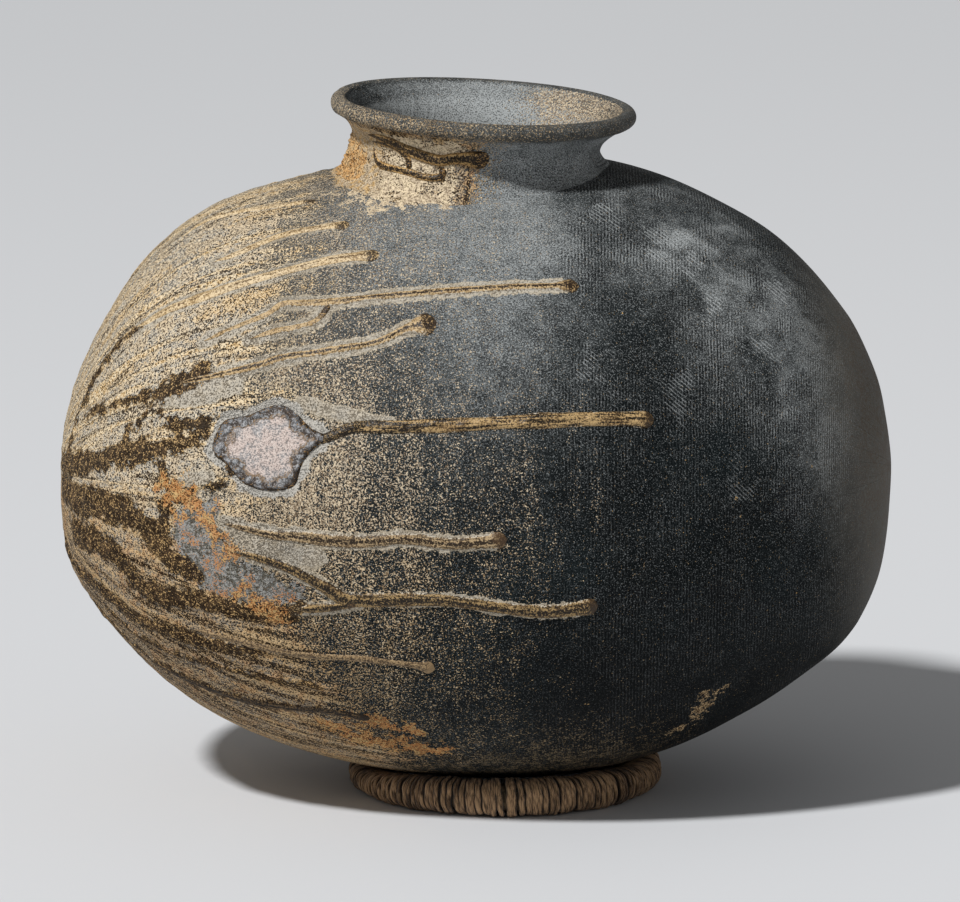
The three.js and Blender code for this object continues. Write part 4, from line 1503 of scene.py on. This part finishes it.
class Paint:
    """One material and its nodes, ending in a Principled shader."""

    def __init__(self, name: str) -> None:
        """Makes the material with nothing but its shader and its output."""
        self.material = bpy.data.materials.new(name)
        self.material.use_nodes = True
        self.tree = self.material.node_tree
        self.tree.nodes.clear()
        self.shader = self.tree.nodes.new("ShaderNodeBsdfPrincipled")
        output = self.tree.nodes.new("ShaderNodeOutputMaterial")
        self.tree.links.new(self.shader.outputs[0], output.inputs["Surface"])

    def feed(self, socket: bpy.types.NodeSocket, value: Any) -> None:
        """Links a value to a socket, or sets the socket to a plain number, colour or vector.

        Args:
            socket: the input.
            value: what it gets.
        """
        if isinstance(value, Value):
            self.tree.links.new(value.socket, socket)
        elif socket.type == "RGBA":
            socket.default_value = (*value, 1.0)
        else:
            socket.default_value = value

    def node(self, kind: str, settings: dict[str, Any] | None = None, sockets: dict[Any, Any] | None = None,
             output: int | str = 0) -> Value:
        """Adds any node.

        Args:
            kind: the node's type.
            settings: its own settings, which are set first.
            sockets: values or links of its inputs, by name or number.
            output: name or number of the output that is wanted.

        Returns:
            That output.
        """
        made = self.tree.nodes.new(kind)
        for key, value in (settings or {}).items():
            setattr(made, key, value)
        for key, value in (sockets or {}).items():
            self.feed(made.inputs[key], value)
        return Value(self, made.outputs[output])

    def math(self, operation: str, *values: Value | float) -> Value:
        """Adds a Math node."""
        return self.node("ShaderNodeMath", {"operation": operation}, dict(enumerate(values)))

    def mix(self, share: Value | float, under: Value | Colour, over: Value | Colour) -> Value:
        """Colour that goes from one to another with the share."""
        return self.node("ShaderNodeMix", {"data_type": "RGBA"}, {0: share, 6: under, 7: over}, 2)

    def layers(self, colour: Value, *coats: tuple[Value | float, Value | Colour]) -> Value:
        """Colour with coats laid over it in turn, each given by its share and its own colour."""
        for share, over in coats:
            colour = self.mix(share, colour, over)
        return colour

    def place(self) -> Value:
        """Object coordinates in millimetres."""
        where = self.node("ShaderNodeTexCoord", output="Object")
        return self.node("ShaderNodeVectorMath", {"operation": "SCALE"}, {0: where, "Scale": 1 / MM})

    def number(self, name: str) -> Value:
        """One of the mesh's numbers."""
        return self.node("ShaderNodeAttribute", {"attribute_name": name}, output="Fac")

    def vector(self, name: str) -> Value:
        """One of the mesh's vectors."""
        return self.node("ShaderNodeAttribute", {"attribute_name": name}, output="Vector")

    def stretch(self, vector: Value, by: Colour) -> Value:
        """Vector times three numbers."""
        return self.node("ShaderNodeVectorMath", {"operation": "MULTIPLY"}, {0: vector, 1: by})

    def part(self, vector: Value, axis: int) -> Value:
        """One coordinate of a vector."""
        return self.node("ShaderNodeSeparateXYZ", {}, {0: vector}, axis)

    def along(self, vector: Value, direction: Colour) -> Value:
        """Distance along a direction: the dot product."""
        return self.node("ShaderNodeVectorMath", {"operation": "DOT_PRODUCT"}, {0: vector, 1: direction}, 1)

    def join(self, x: Value, y: Value, z: Value | float = 0.0) -> Value:
        """Vector of three numbers."""
        return self.node("ShaderNodeCombineXYZ", {}, {0: x, 1: y, 2: z})

    def noise(self, vector: Value, size: float, detail: float = 2.0, roughness: float = 0.55) -> Value:
        """Noise about one half, with features of a size in the vector's own units."""
        sockets = {"Vector": vector, "Scale": 1 / size, "Detail": detail, "Roughness": roughness}
        return self.node("ShaderNodeTexNoise", {}, sockets)

    def cells(self, vector: Value, size: float) -> Value:
        """Distance from the nearest of scattered points, in cells."""
        return self.node("ShaderNodeTexVoronoi", {}, {"Vector": vector, "Scale": 1 / size})

    def finish(self, colour: Value | Colour, roughness: Value | float, height: Value | None = None,
               **constant: Any) -> Material:
        """Feeds the shader.

        Args:
            colour: base colour.
            roughness: roughness.
            height: relief in millimetres that a Bump node reads.
            constant: other sockets, with underscores for spaces, that are the same all over.

        Returns:
            The material.
        """
        self.feed(self.shader.inputs["Base Color"], colour)
        self.feed(self.shader.inputs["Roughness"], roughness)
        if height is not None:
            bump = self.node("ShaderNodeBump", {}, {"Strength": 1.0, "Distance": MM, "Height": height})
            self.feed(self.shader.inputs["Normal"], bump)
        for key, value in constant.items():
            self.feed(self.shader.inputs[key.replace("_", " ")], value)
        return self.material


class Grit:
    """Grains of the fired surface: noises that the jar's finishes share, so that they meet unseen."""

    ASH_DULL: Colour = (0.36, 0.315, 0.245)
    ASH_LIGHT: Colour = (0.46, 0.425, 0.36)
    ASH_PIT: Colour = (0.06, 0.042, 0.026)
    ASH_GLINT: Colour = (0.64, 0.55, 0.42)

    def __init__(self, p: Paint) -> None:
        """Adds the noises: dusting, mottling, wobble and scatter are about zero, the others about a half."""
        self.p = p
        self.here = p.place()
        self.fine = p.noise(self.here, 0.68, 0.0)
        self.grain = p.noise(self.here, 1.15, 1.0, 0.5)
        self.dust = p.noise(self.here, 2.5, 2.0, 0.6)
        self.mottle = p.noise(self.here, 9.0, 3.0, 0.6)
        self.dusting = self.dust - 0.5
        self.mottling = self.mottle - 0.5
        self.wobble = p.noise(self.here, 5.5, 3.0, 0.6) - 0.5
        self.speck = self.fine * 0.55 + self.grain * 0.45
        self.scatter = (self.fine - 0.5) * 0.9 + (self.grain - 0.5) * 0.9 + self.dusting * 0.7

    def roughen(self, colour: Value, amount: float, pit: Colour, glint: Value | Colour) -> Value:
        """Colour with dark pits and pale grains over it, as strong as the amount."""
        pitted = self.p.mix(self.speck.step(0.487, 0.405) * amount, colour, pit)
        return self.p.mix(self.speck.step(0.538, 0.605) * amount * 0.85, pitted, glint)

    def blotches(self, amount: float, low: float, high: float, under: Colour, over: Colour) -> Value:
        """Colour that goes from one tint to another in soft blotches."""
        return self.p.mix((self.dust + self.mottling * amount).step(low, high), under, over)

    def pale_ash(self) -> Value:
        """Colour of the pale grey ash around the runs."""
        share = (self.mottle + self.scatter * 0.5).step(0.40, 0.60)
        tint = self.p.mix(share, self.ASH_DULL, self.ASH_LIGHT)
        return self.roughen(tint, 0.6, self.ASH_PIT, self.ASH_GLINT)


class AshFlow(Grit):
    """The grains, and with them the fields of the mesh and the noises drawn out along the flow of the ash."""

    def __init__(self, p: Paint) -> None:
        """Adds the fields and the noises to a material."""
        super().__init__(p)
        self.flow = p.vector("flow")
        self.ash, self.ground = p.number("ash"), p.number("ground")
        self.streak = p.noise(p.stretch(self.flow, (0.10, 1.0, 1.0)), 4.5, 3.0, 0.6)
        self.wash = p.noise(p.stretch(self.flow, (0.2, 1.0, 1.0)), 13.0, 3.0, 0.55)
        self.vein = p.noise(p.stretch(self.flow, (0.06, 1.0, 1.0)), 16.0, 2.0, 0.5)
        self.blocks = p.noise(p.stretch(self.flow, (1.0, 0.15, 0.15)), 9.0, 3.0, 0.6)
        self.washing = self.wash - 0.5
        self.x, self.z = p.part(self.here, 0), p.part(self.here, 2)
        self.over = p.part(self.flow, 2)
        self.upper = self.over.step(-60.0, 40.0)

    def laid(self, name: str, per_mm: float, bias: Value | float = 0.0, ragged: float = 1.8,
             grains: float = 0.65) -> Value:
        """Mask of a mark laid grain by grain: its distance field plus scattered noise, cut at zero.

        Args:
            name: the field, in millimetres inside the mark's edge.
            per_mm: how fast the mark closes up inside its edge.
            bias: what is added all over.
            ragged: how far the edge wanders.
            grains: how far the edge breaks into grains.

        Returns:
            0 off the mark and 1 on it.
        """
        near = self.p.number(name) * per_mm
        return (near + self.scatter * grains + self.wobble * ragged + bias).step(-0.03, 0.06)


@dataclass(frozen=True)
class Stoneware:
    """Smoke-dark clay under natural ash: the finish of the whole wall and the neck."""

    soot_and_shade: Colour = (0.003, 0.0035, 0.004)
    slate_dark: Colour = (0.0035, 0.0055, 0.0062)
    slate: Colour = (0.0085, 0.0135, 0.0152)
    slate_grey: Colour = (0.045, 0.051, 0.052)
    dusty: Colour = (0.105, 0.097, 0.085)
    pale_slate_and_sheen: Colour = (0.415, 0.437, 0.437)
    ash_grey: Colour = (0.42, 0.385, 0.325)
    ash_tan: Colour = (0.53, 0.425, 0.295)
    tan_grain: Colour = (0.50, 0.36, 0.20)
    ochre: Colour = (0.58, 0.38, 0.165)
    cream: Colour = (0.80, 0.66, 0.45)
    warm_grain: Colour = (0.66, 0.46, 0.25)
    rust: Colour = (0.50, 0.215, 0.07)
    umber: Colour = (0.024, 0.013, 0.006)
    brown: Colour = (0.095, 0.056, 0.028)
    blue_grey: Colour = (0.31, 0.315, 0.305)
    moss_grey: Colour = (0.11, 0.11, 0.095)
    end_grey_and_fill_light: Colour = (0.19, 0.178, 0.155)
    inner_clay: Colour = (0.16, 0.155, 0.145)
    cream_glint: Colour = (0.72, 0.60, 0.44)
    scar_ash: Colour = (0.52, 0.50, 0.46)
    scar_glint: Colour = (0.62, 0.60, 0.55)
    comb_pitch: float = 1.65
    hatch_pitch: float = 1.7
    cross_pitch: float = 1.6

    def make(self) -> Material:
        """Builds the material: clay, then speckle, ground, halos, crust and stains over it, and a paler grey
        with painted fill light on the right end, coat by coat.
        """
        p = Paint("stoneware")
        g = AshFlow(p)
        clay, tooling = self._clay(g)
        speck, grains = self._speckle(g)
        crest, earth = self._earth(g)
        dense = (g.ground + g.mottling * 70 + g.washing * 60 + g.scatter * 60).step(-12.0, 12.0)
        low = (g.z + g.mottling * 50).step(76.0, 24.0) * g.x.step(125.0, 55.0)
        coat = (g.speck + g.dusting * 0.5 + g.mottling * 0.5 + low * 0.16 - 0.66).step(0.0, 0.07)
        base = g.blotches(0.6, 0.45, 0.62, self.moss_grey, self.tan_grain)
        flake = g.blotches(0.8, 0.36, 0.54, self.moss_grey, self.blue_grey)
        flake = g.roughen(flake, 0.6, self.brown, self.ash_grey)
        flake = p.mix((g.speck + g.mottling * 1.2).step(0.58, 0.66) * 0.85, flake, self.rust)
        edge = p.number("fringe") + g.wobble * 6.0 + g.scatter * 1.2
        halo = edge.step(-0.4, 0.4)
        creamy = g.laid("cream", 0.028, g.mottling * 1.4, 1.6) * p.number("cream").step(-14.5, -8.0)
        cream = p.mix(g.dust.step(0.4, 0.6), self.ash_tan, self.cream)
        rim = (p.number("scar") + 3.2 + g.wobble * 8 + g.scatter * 2).step(-0.4, 0.6)
        rim_ash = p.mix(0.5, self.ash_grey, self.scar_ash)
        crusted = g.laid("crust", 0.13, p.number("smoke") * 0.48 + g.washing * 1.2 - 0.02, 2.2, 0.5)
        crust = p.mix((g.dust + g.mottling * 0.6).step(0.46, 0.62) * 0.6, self.umber, self.brown)
        crust = p.mix((g.speck + g.dusting * 0.4).step(0.56, 0.66) * 0.85, crust, self.ochre)
        ochred = g.laid("ochre", 0.08)
        ochre = p.mix(g.dust.step(0.36, 0.56), self.ochre, self.ash_tan)
        stained = g.laid("rust", 0.08, g.mottling * 2.2 - 0.04, 2.4, 0.9)
        stain = g.blotches(0.8, 0.52, 0.70, self.rust, self.ochre)
        scuffed = g.laid("scuff", 0.07, g.mottling * 2.0 - 0.12, 2.4)
        end = p.number("worn")
        worn = (end * 0.8 + g.scatter + g.mottling * 0.6 - 0.65).step(-0.05, 0.15)
        colour = p.layers(
            clay,
            (speck, grains),
            (dense, earth),
            (coat * low.step(0.0, 0.2) * 0.27, g.roughen(base, 0.9, self.umber, self.tan_grain)),
            (g.laid("flake", 0.08), flake),
            (halo * 0.95, g.pale_ash()),
            (edge.step(-0.5, 0.1) * edge.step(1.2, 0.5) * 0.2, self.cream),
            (creamy, g.roughen(cream, 0.6, self.brown, self.cream_glint)),
            (rim, g.roughen(rim_ash, 0.5, self.slate, self.scar_glint)),
            (crusted * 0.95, crust),
            (ochred, g.roughen(ochre, 0.5, self.brown, self.cream)),
            (stained * 0.9, g.roughen(stain, 0.9, self.brown, self.ochre)),
            (scuffed * 0.9, p.mix(g.speck.step(0.48, 0.62), self.brown, self.tan_grain)),
            # Right end: a paler grey that is partly its own worn grey and partly painted fill light, then its
            # worn speckle
            ((end + g.mottling * 0.5).step(0.0, 1.0) * 0.55, self.end_grey_and_fill_light),
            (worn * 0.55, p.mix(g.dust.step(0.45, 0.65), self.brown, self.moss_grey)),
            (p.number("inside") * 0.8, p.mix(g.grain.step(0.35, 0.65), self.slate, self.inner_clay)),
        )
        relief = g.speck * (dense * 0.55 + 0.18) + g.mottle * dense * 0.4 + speck * 0.12
        relief = relief + tooling * (1.0 - dense) + halo * 0.2 + crest * 0.15 + stained * g.dust * 0.3
        relief = relief + crusted * (g.dust * 0.8 + 0.1) + ochred * g.dust * 0.9 + creamy * g.dust * 0.5
        gloss = 0.60 + g.mottling * 0.2 + dense * 0.10 - halo * 0.04 - crusted * 0.08
        return p.finish(colour, gloss, relief, Specular_IOR_Level=0.05)

    def _speckle(self, g: AshFlow) -> tuple[Value, Value]:
        """Scattered grains of ash, which thin out towards the edge of the ash and end beyond it.

        Args:
            g: the paint's grains and flow.

        Returns:
            Mask and colour.
        """
        p = g.p
        reach = g.ash + (g.blocks - 0.5) * 170 + g.mottling * 110 + g.upper * g.ash.step(40.0, 120.0) * 40
        beyond = (reach * -0.0024 - 0.012).most(0.0)
        speck = (g.speck + reach * 0.0012 - beyond - 0.598).step(0.0, 0.06)
        thick = (g.dust + (g.ash - 110.0) * 0.0012).step(0.42, 0.60)
        tone = p.noise(g.here, 0.9, 1.0, 0.5)
        grains = p.layers(
            p.mix(g.upper * 0.7, self.tan_grain, self.ash_grey),
            (thick, self.ash_tan),
            (tone.step(0.51, 0.41) * 0.8, self.brown),
            (tone.step(0.56, 0.66) * 0.7, self.cream),
        )
        return speck, grains

    def _earth(self, g: AshFlow) -> tuple[Value, Value]:
        """Dense ground of ash with crests, a painted shadow line beside each crest, and dark streaks along
        its flow.

        Args:
            g: the paint's grains and flow.

        Returns:
            Mask of the crests, and colour.
        """
        p = g.p
        crest = abs(g.vein - 0.5 + g.scatter * 0.05).step(0.042, 0.016) * (0.3 + g.upper * 0.6)
        # Painted shadow: a thin dark line along one side of each crest
        ridge_shadow = abs(g.vein - 0.548 + g.dusting * 0.06 + g.scatter * 0.03).step(0.020, 0.006)
        stale = 0.08 + (g.wash + g.dusting * 0.5).step(0.56, 0.40) * 0.60
        rusty = (0.9 - g.upper) * (g.mottle + g.dusting * 0.6).step(0.52, 0.64)
        layered = ((g.streak - 0.5) * 3.8 + g.scatter * 0.6 - g.upper * 0.42).step(0.09, 0.18)
        earth = p.layers(
            p.mix((g.mottle + g.dusting * 0.7).step(0.42, 0.58), self.ash_grey, self.ash_tan),
            ((g.wash + g.scatter * 0.5 - g.upper * 0.05).step(0.46, 0.60) * 0.75, self.ochre),
            (crest, p.mix(g.dust.step(0.4, 0.6), self.ochre, self.cream)),
            (ridge_shadow * 0.85, self.umber),
            ((0.75 - g.upper) * stale, self.brown),
            (rusty * 0.45, self.rust),
            (layered * 0.9, self.umber),
        )
        return crest, g.roughen(earth, 0.95, self.umber, p.mix(g.upper, self.warm_grain, self.cream))

    def _clay(self, g: AshFlow) -> tuple[Value, Value]:
        """Bare clay with comb lines and beaten hatching, a pale bloom with painted sheen, painted shade low
        on the right, painted shade in the comb grooves and painted highlights on the comb and hatch ridges,
        dark pores and pale specks.

        Args:
            g: the paint's grains and flow.

        Returns:
            Colour, and relief in millimetres.
        """
        p = g.p
        cloud = p.noise(g.here, 44.0, 3.0)
        drift = p.noise(g.here, 9.0, 2.0) - 0.5
        combed = p.noise(p.stretch(g.flow, (0.6, 0.4, 0.4)), 15.0, 2.0).step(0.34, 0.58)
        combed = combed * (0.10 + g.x.step(0.0, 70.0) * 0.90) * g.z.step(328.0, 318.0)
        combed = combed * (0.35 + g.dust.step(0.40, 0.62) * 0.65)
        comb = ((p.part(g.flow, 0) + drift * 1.6) * (TAU / self.comb_pitch)).sine() * combed
        patch = p.noise(g.here, 13.0, 3.0, 0.6)
        beaten = (p.number("beaten") + patch - 0.5 + (g.grain - 0.5) * 0.4).step(0.13, 0.30)
        crossed = (0.5 - patch + (g.grain - 0.5) * 0.4).step(0.14, 0.30)
        hatch = (p.along(g.here, (0.62, 0.25, 0.74)) * (TAU / self.hatch_pitch) + drift * 5).sine() * beaten
        cross = (p.along(g.here, (-0.78, 0.2, 0.6)) * (TAU / self.cross_pitch) + drift * 5).sine() * crossed
        wisps = p.noise(g.here, 26.0, 4.0, 0.6)
        blotch = (wisps.step(0.38, 0.62) - 0.42) * g.x.step(20.0, 85.0) * 0.7
        bloom = p.number("bloom") * (1.0 + blotch)
        faint = bloom.step(0.0, 0.3) * g.mottling * 0.5
        shaded = 0.2 + g.over.step(-30.0, 90.0) * 0.6
        # Painted shade: the clay low on the right is darkened, and its pale specks are dimmed there
        shadow = g.z.step(150.0, 60.0) * g.x.step(-20.0, 60.0)
        open_light = 1 - shadow * 0.7
        # Painted highlights: comb, hatch and cross-hatch ridges are paler, more so under the bloom's painted
        # sheen
        shine = 0.09 + bloom * 1.5
        pale = comb.step(0.1, 1.0) * shine + hatch.step(0.1, 1.0) * (shine + 0.18)
        pores = p.noise(g.here, 0.62, 1.0, 0.7)
        clay = p.layers(
            p.mix((cloud + g.mottling * 0.5).step(0.34, 0.70), self.slate_dark, self.slate),
            ((g.ash + g.mottling * 120).step(-70.0, 90.0) * shaded, self.slate_grey),
            (g.over.step(40.0, 110.0) * g.ash.step(20.0, 110.0) * 0.8, self.dusty),
            # Pale bloom with painted sheen
            ((bloom * 0.9 + faint).step(0.0, 1.0), self.pale_slate_and_sheen),
            (shadow * 0.8, self.soot_and_shade),
            # Painted shade in the comb grooves
            (comb.step(0.0, -0.8) * 0.9, self.soot_and_shade),
            (pale + cross.step(0.1, 1.0) * shine, self.pale_slate_and_sheen),
            (pores.step(0.50, 0.38) * 0.75, self.soot_and_shade),
            # Pale specks, brighter under the painted sheen and dimmed in the painted shade
            (pores.step(0.54, 0.66) * (0.075 + bloom * 1.3) * open_light, self.pale_slate_and_sheen),
            (pores.step(0.62, 0.70) * 0.32 * open_light, self.pale_slate_and_sheen),
            (g.fine.step(0.78, 0.84) * 0.6, self.tan_grain),
        )
        return clay, comb * 0.075 + hatch * 0.08 + cross * 0.06


@dataclass(frozen=True)
class GlazeRun:
    """Finish of a run of fused ash: a core and edges along it, stripes, grains and a darker tip."""

    name: str
    core: Colour
    body: Colour
    edge: Colour
    tip: Colour
    core_share: float
    stripes: float
    tip_length: float
    roughness: float
    pale_from: float = 0.72
    grit: float = 0.6
    deepening: float = 0.0

    def make(self) -> Material:
        """Builds the material from the share across the run and the places along it."""
        p = Paint(self.name)
        grit = Grit(p)
        across, along, to_go, dark = (p.number(name) for name in ("across", "along", "to_go", "dark"))
        thread = p.noise(p.join(along * 0.06, across * p.number("wide")), 1.5, 2.0, 0.6)
        aside = abs(across) + grit.scatter * 0.5 + grit.wobble * 0.6
        threads = (thread + grit.scatter * 0.10 - dark * self.deepening).step(0.53, 0.44)
        striped = p.layers(
            p.mix((grit.mottle + grit.scatter * 0.6).step(0.38, 0.60), self.body, self.edge),
            (threads * self.stripes, self.core),
            (aside.step(self.core_share + 0.12, self.core_share - 0.06) * dark, self.core),
        )
        tipped = (to_go + grit.wobble * 8).step(self.tip_length, self.tip_length * 0.6)
        tip = p.mix((grit.speck + grit.dusting * 0.5).step(0.52, 0.62), self.tip, self.body)
        colour = p.layers(
            grit.roughen(striped, self.grit, self.core, self.edge),
            (aside.step(self.pale_from, self.pale_from + 0.16), grit.pale_ash()),
            (tipped * 0.95, tip),
        )
        relief = thread * self.stripes * 0.5 + grit.speck * 0.35 + grit.dust * 0.3
        return p.finish(colour, self.roughness + (grit.grain - 0.5) * 0.3, relief, Specular_IOR_Level=0.25)


RUN_FINISHES = {
    RunKind.LINE: GlazeRun(
        "line_run", (0.030, 0.017, 0.008), (0.40, 0.26, 0.115), (0.56, 0.40, 0.21), (0.030, 0.018, 0.010),
        0.26, 0.25, 9.0, 0.45),
    RunKind.BEAD: GlazeRun(
        "bead_run", (0.016, 0.010, 0.005), (0.19, 0.115, 0.048), (0.48, 0.325, 0.15), (0.040, 0.024, 0.012),
        0.10, 1.0, 7.0, 0.40, 0.95, 0.5, 0.12),
    RunKind.MOTTLED: GlazeRun(
        "mottled_run", (0.028, 0.017, 0.009), (0.20, 0.13, 0.065), (0.46, 0.33, 0.18), (0.08, 0.045, 0.022),
        0.22, 0.7, 7.0, 0.45, 0.80),
    RunKind.FILM: GlazeRun(
        "film_run", (0.12, 0.07, 0.03), (0.54, 0.38, 0.19), (0.74, 0.58, 0.36), (0.035, 0.022, 0.012),
        0.05, 0.35, 9.0, 0.5, 1.1, 0.6),
    RunKind.SOOT: GlazeRun(
        "soot_run", (0.010, 0.006, 0.003), (0.022, 0.013, 0.007), (0.15, 0.095, 0.045), (0.022, 0.014, 0.008),
        0.30, 0.8, 8.0, 0.75, 1.5, 0.9),
    RunKind.DARK: GlazeRun(
        "dark_run", (0.016, 0.010, 0.005), (0.115, 0.068, 0.03), (0.36, 0.24, 0.105), (0.05, 0.03, 0.015),
        0.30, 0.9, 6.0, 0.42, 0.94, 0.6),
    RunKind.DRIP: GlazeRun(
        "drip_run", (0.020, 0.012, 0.006), (0.34, 0.20, 0.075), (0.56, 0.36, 0.15), (0.014, 0.009, 0.006),
        0.52, 0.7, 9.0, 0.40, 1.3, 0.4),
    RunKind.TAN: GlazeRun(
        "tan_run", (0.06, 0.036, 0.018), (0.25, 0.165, 0.085), (0.36, 0.25, 0.13), (0.30, 0.20, 0.10),
        0.05, 0.6, 6.0, 0.5, 1.2, 0.8),
}


@dataclass(frozen=True)
class Fragment:
    """Finish of the fused fragment: speckled pink grey, blue grey bubbles near its edge and a brown rim."""

    pink: Colour = (0.58, 0.475, 0.425)
    grey: Colour = (0.38, 0.365, 0.36)
    pale: Colour = (0.74, 0.67, 0.61)
    bubble: Colour = (0.31, 0.325, 0.34)
    pit: Colour = (0.13, 0.11, 0.10)
    rim: Colour = (0.026, 0.016, 0.009)
    amber: Colour = (0.34, 0.20, 0.08)
    foam: Colour = (0.42, 0.42, 0.42)

    def make(self) -> Material:
        """Builds the material from the share of the way from the middle to the edge."""
        p = Paint("fused_fragment")
        grit = Grit(p)
        out = p.number("across")
        bubbles = p.cells(grit.here, 3.0)
        pink = p.mix((grit.mottle + grit.scatter * 0.5).step(0.36, 0.56), self.grey, self.pink)
        around = out + grit.wobble * 0.55 + grit.scatter * 0.10
        ring = around.step(0.66, 0.74)
        froth = p.mix((bubbles + grit.scatter * 0.4).step(0.66, 0.40), self.rim, self.bubble)
        gaps = (abs(around - 0.72) - grit.scatter * 0.05).step(0.045, 0.015)
        edge = (out + grit.wobble * 0.35 + grit.scatter * 0.25).step(0.93, 0.97)
        colour = p.layers(
            grit.roughen(pink, 0.55, self.pit, self.pale),
            (ring * 0.9, grit.roughen(froth, 0.7, self.rim, self.foam)),
            (gaps * 0.5, self.amber),
            (edge, p.mix(grit.speck.step(0.56, 0.64), self.rim, self.amber)),
        )
        relief = grit.speck * 0.7 + grit.mottle * 1.0 + ring * bubbles.step(0.8, 0.1) * 1.1 - edge * 0.4
        return p.finish(colour, 0.55 - edge * 0.1, relief, Specular_IOR_Level=0.2)


@dataclass(frozen=True)
class OchreCrust:
    """Finish of the granular ash beside the neck."""

    ochre: Colour = (0.56, 0.30, 0.10)
    cream: Colour = (0.64, 0.44, 0.22)
    brown: Colour = (0.07, 0.04, 0.018)

    def make(self) -> Material:
        """Builds the material: grains of two tints with dark pits between them."""
        p = Paint("ochre_crust")
        grit = Grit(p)
        colour = grit.blotches(0.8, 0.45, 0.65, self.ochre, self.cream)
        colour = grit.roughen(colour, 0.9, self.brown, self.cream)
        return p.finish(colour, 0.62, grit.speck * 1.0 + grit.dust * 0.8, Specular_IOR_Level=0.35)


@dataclass(frozen=True)
class Twine:
    """Finish of the wound twine: brown bast fibre, with painted shade between its plies and on the flanks of
    each turn.
    """

    dark: Colour = (0.012, 0.007, 0.004)
    brown: Colour = (0.115, 0.06, 0.029)
    pale: Colour = (0.52, 0.325, 0.175)

    def make(self) -> Material:
        """Builds the material from the twine's plies, its own length and a tone for each turn."""
        p = Paint("twine")
        fibre = p.noise(p.stretch(p.vector("fibre"), (0.16, 1.6, 1.6)), 0.7, 3.0, 0.65)
        ply, tone = p.number("ply"), p.number("tone")
        colour = p.layers(
            p.mix((fibre + tone * 0.10).step(0.38, 0.60), self.brown, self.pale),
            (fibre.step(0.49, 0.37) * 0.95, self.dark),
            # Painted shade: dark between the plies and on the flanks where the turns press together
            ((ply + (fibre - 0.5) * 1.5).step(-0.3, -1.0) * 0.45, self.dark),
            ((p.number("deep") + tone * 0.3).step(0.90, 0.30) * 0.95, self.dark),
        )
        return p.finish(colour, 0.85, fibre * 0.45 + ply * 0.08, Sheen_Weight=0.15, Specular_IOR_Level=0.2)


@dataclass(frozen=True)
class Padding:
    """Finish of the straw core under the twine."""

    dark: Colour = (0.05, 0.033, 0.018)
    pale: Colour = (0.16, 0.11, 0.06)

    def make(self) -> Material:
        """Builds the material: short straws in two tones."""
        p = Paint("padding")
        straw = p.noise(p.stretch(p.place(), (1.0, 1.0, 0.3)), 1.4, 3.0)
        return p.finish(p.mix(straw.step(0.4, 0.6), self.dark, self.pale), 0.9, straw * 0.5)


@dataclass
class Studio:
    """Pale floor, soft key light, even fill and the camera at the photograph's angle."""

    target: tuple[float, float, float] = (0.0019, 0.0, 0.17075)
    elevation: float = math.radians(11.4)
    distance: float = 4.2
    lens: float = 314.5
    floor_size: float = 60.0
    floor_near: Colour = (0.72, 0.73, 0.748)
    floor_far: Colour = (0.57, 0.58, 0.595)
    key_from: tuple[float, float, float] = (-0.429, -0.485, 0.763)
    key_strength: float = 3.1
    key_angle: float = math.radians(5.0)
    fill: float = 0.22

    def floor(self) -> None:
        """A wide flat floor, a little darker towards the back."""
        half = self.floor_size / 2
        mesh = bpy.data.meshes.new("floor")
        corners = [(x * half, y * half, 0) for x, y in ((-1, -1), (1, -1), (1, 1), (-1, 1))]
        mesh.from_pydata(corners, [], [(0, 1, 2, 3)])
        floor = put_in_scene("floor", mesh)
        p = Paint("floor")
        colour = p.mix(p.part(p.place(), 1).step(-600.0, 3200.0), self.floor_near, self.floor_far)
        mesh.materials.append(p.finish(colour, 0.9, Specular_IOR_Level=0.1))

    @staticmethod
    def aim(thing: bpy.types.Object, backwards: Vector) -> None:
        """Turns a lamp or a camera so that it looks against a direction."""
        thing.rotation_mode = "QUATERNION"
        thing.rotation_quaternion = (-backwards).to_track_quat("-Z", "Y")

    def lights(self) -> None:
        """A key light like a far soft box at the upper left, and an even world."""
        key = bpy.data.lights.new("key", "SUN")
        key.energy = self.key_strength
        key.angle = self.key_angle
        self.aim(put_in_scene("key", key), Vector(self.key_from))
        world = bpy.data.worlds.new("studio")
        bpy.context.scene.world = world
        world.use_nodes = True
        back = world.node_tree.nodes["Background"]
        back.inputs["Color"].default_value = (1.0, 1.0, 1.0, 1.0)
        back.inputs["Strength"].default_value = self.fill

    def camera(self) -> None:
        """The camera in front, a little above, with a long lens."""
        lens = bpy.data.cameras.new("camera")
        lens.lens = self.lens
        lens.sensor_width = 36.0
        lens.clip_end = 200.0
        camera = put_in_scene("camera", lens)
        back = Vector((0.0, -math.cos(self.elevation), math.sin(self.elevation)))
        camera.location = Vector(self.target) + back * self.distance
        self.aim(camera, back)
        bpy.context.scene.camera = camera

    def build(self) -> None:
        """Makes the floor, the lights and the camera."""
        bpy.context.scene.view_settings.view_transform = "Standard"
        self.floor()
        self.lights()
        self.camera()


def main() -> None:
    """Builds the jar, its deposits, its ring and the studio."""
    logging.basicConfig(level=logging.INFO, format="%(name)s %(message)s")
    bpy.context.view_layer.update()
    Studio().build()
    form = BarrelForm()
    marks = KilnMarks(form)
    clay = Stoneware().make()
    Barrel(marks).build(clay)
    neck = Neck(marks)
    neck.build(clay)
    runs = {kind: finish.make() for kind, finish in RUN_FINISHES.items()}
    Deposits(marks, neck).build(runs, Fragment().make(), OchreCrust().make())
    CordRing(form).build(Twine().make(), Padding().make())


if __name__ == "__main__":
    main()
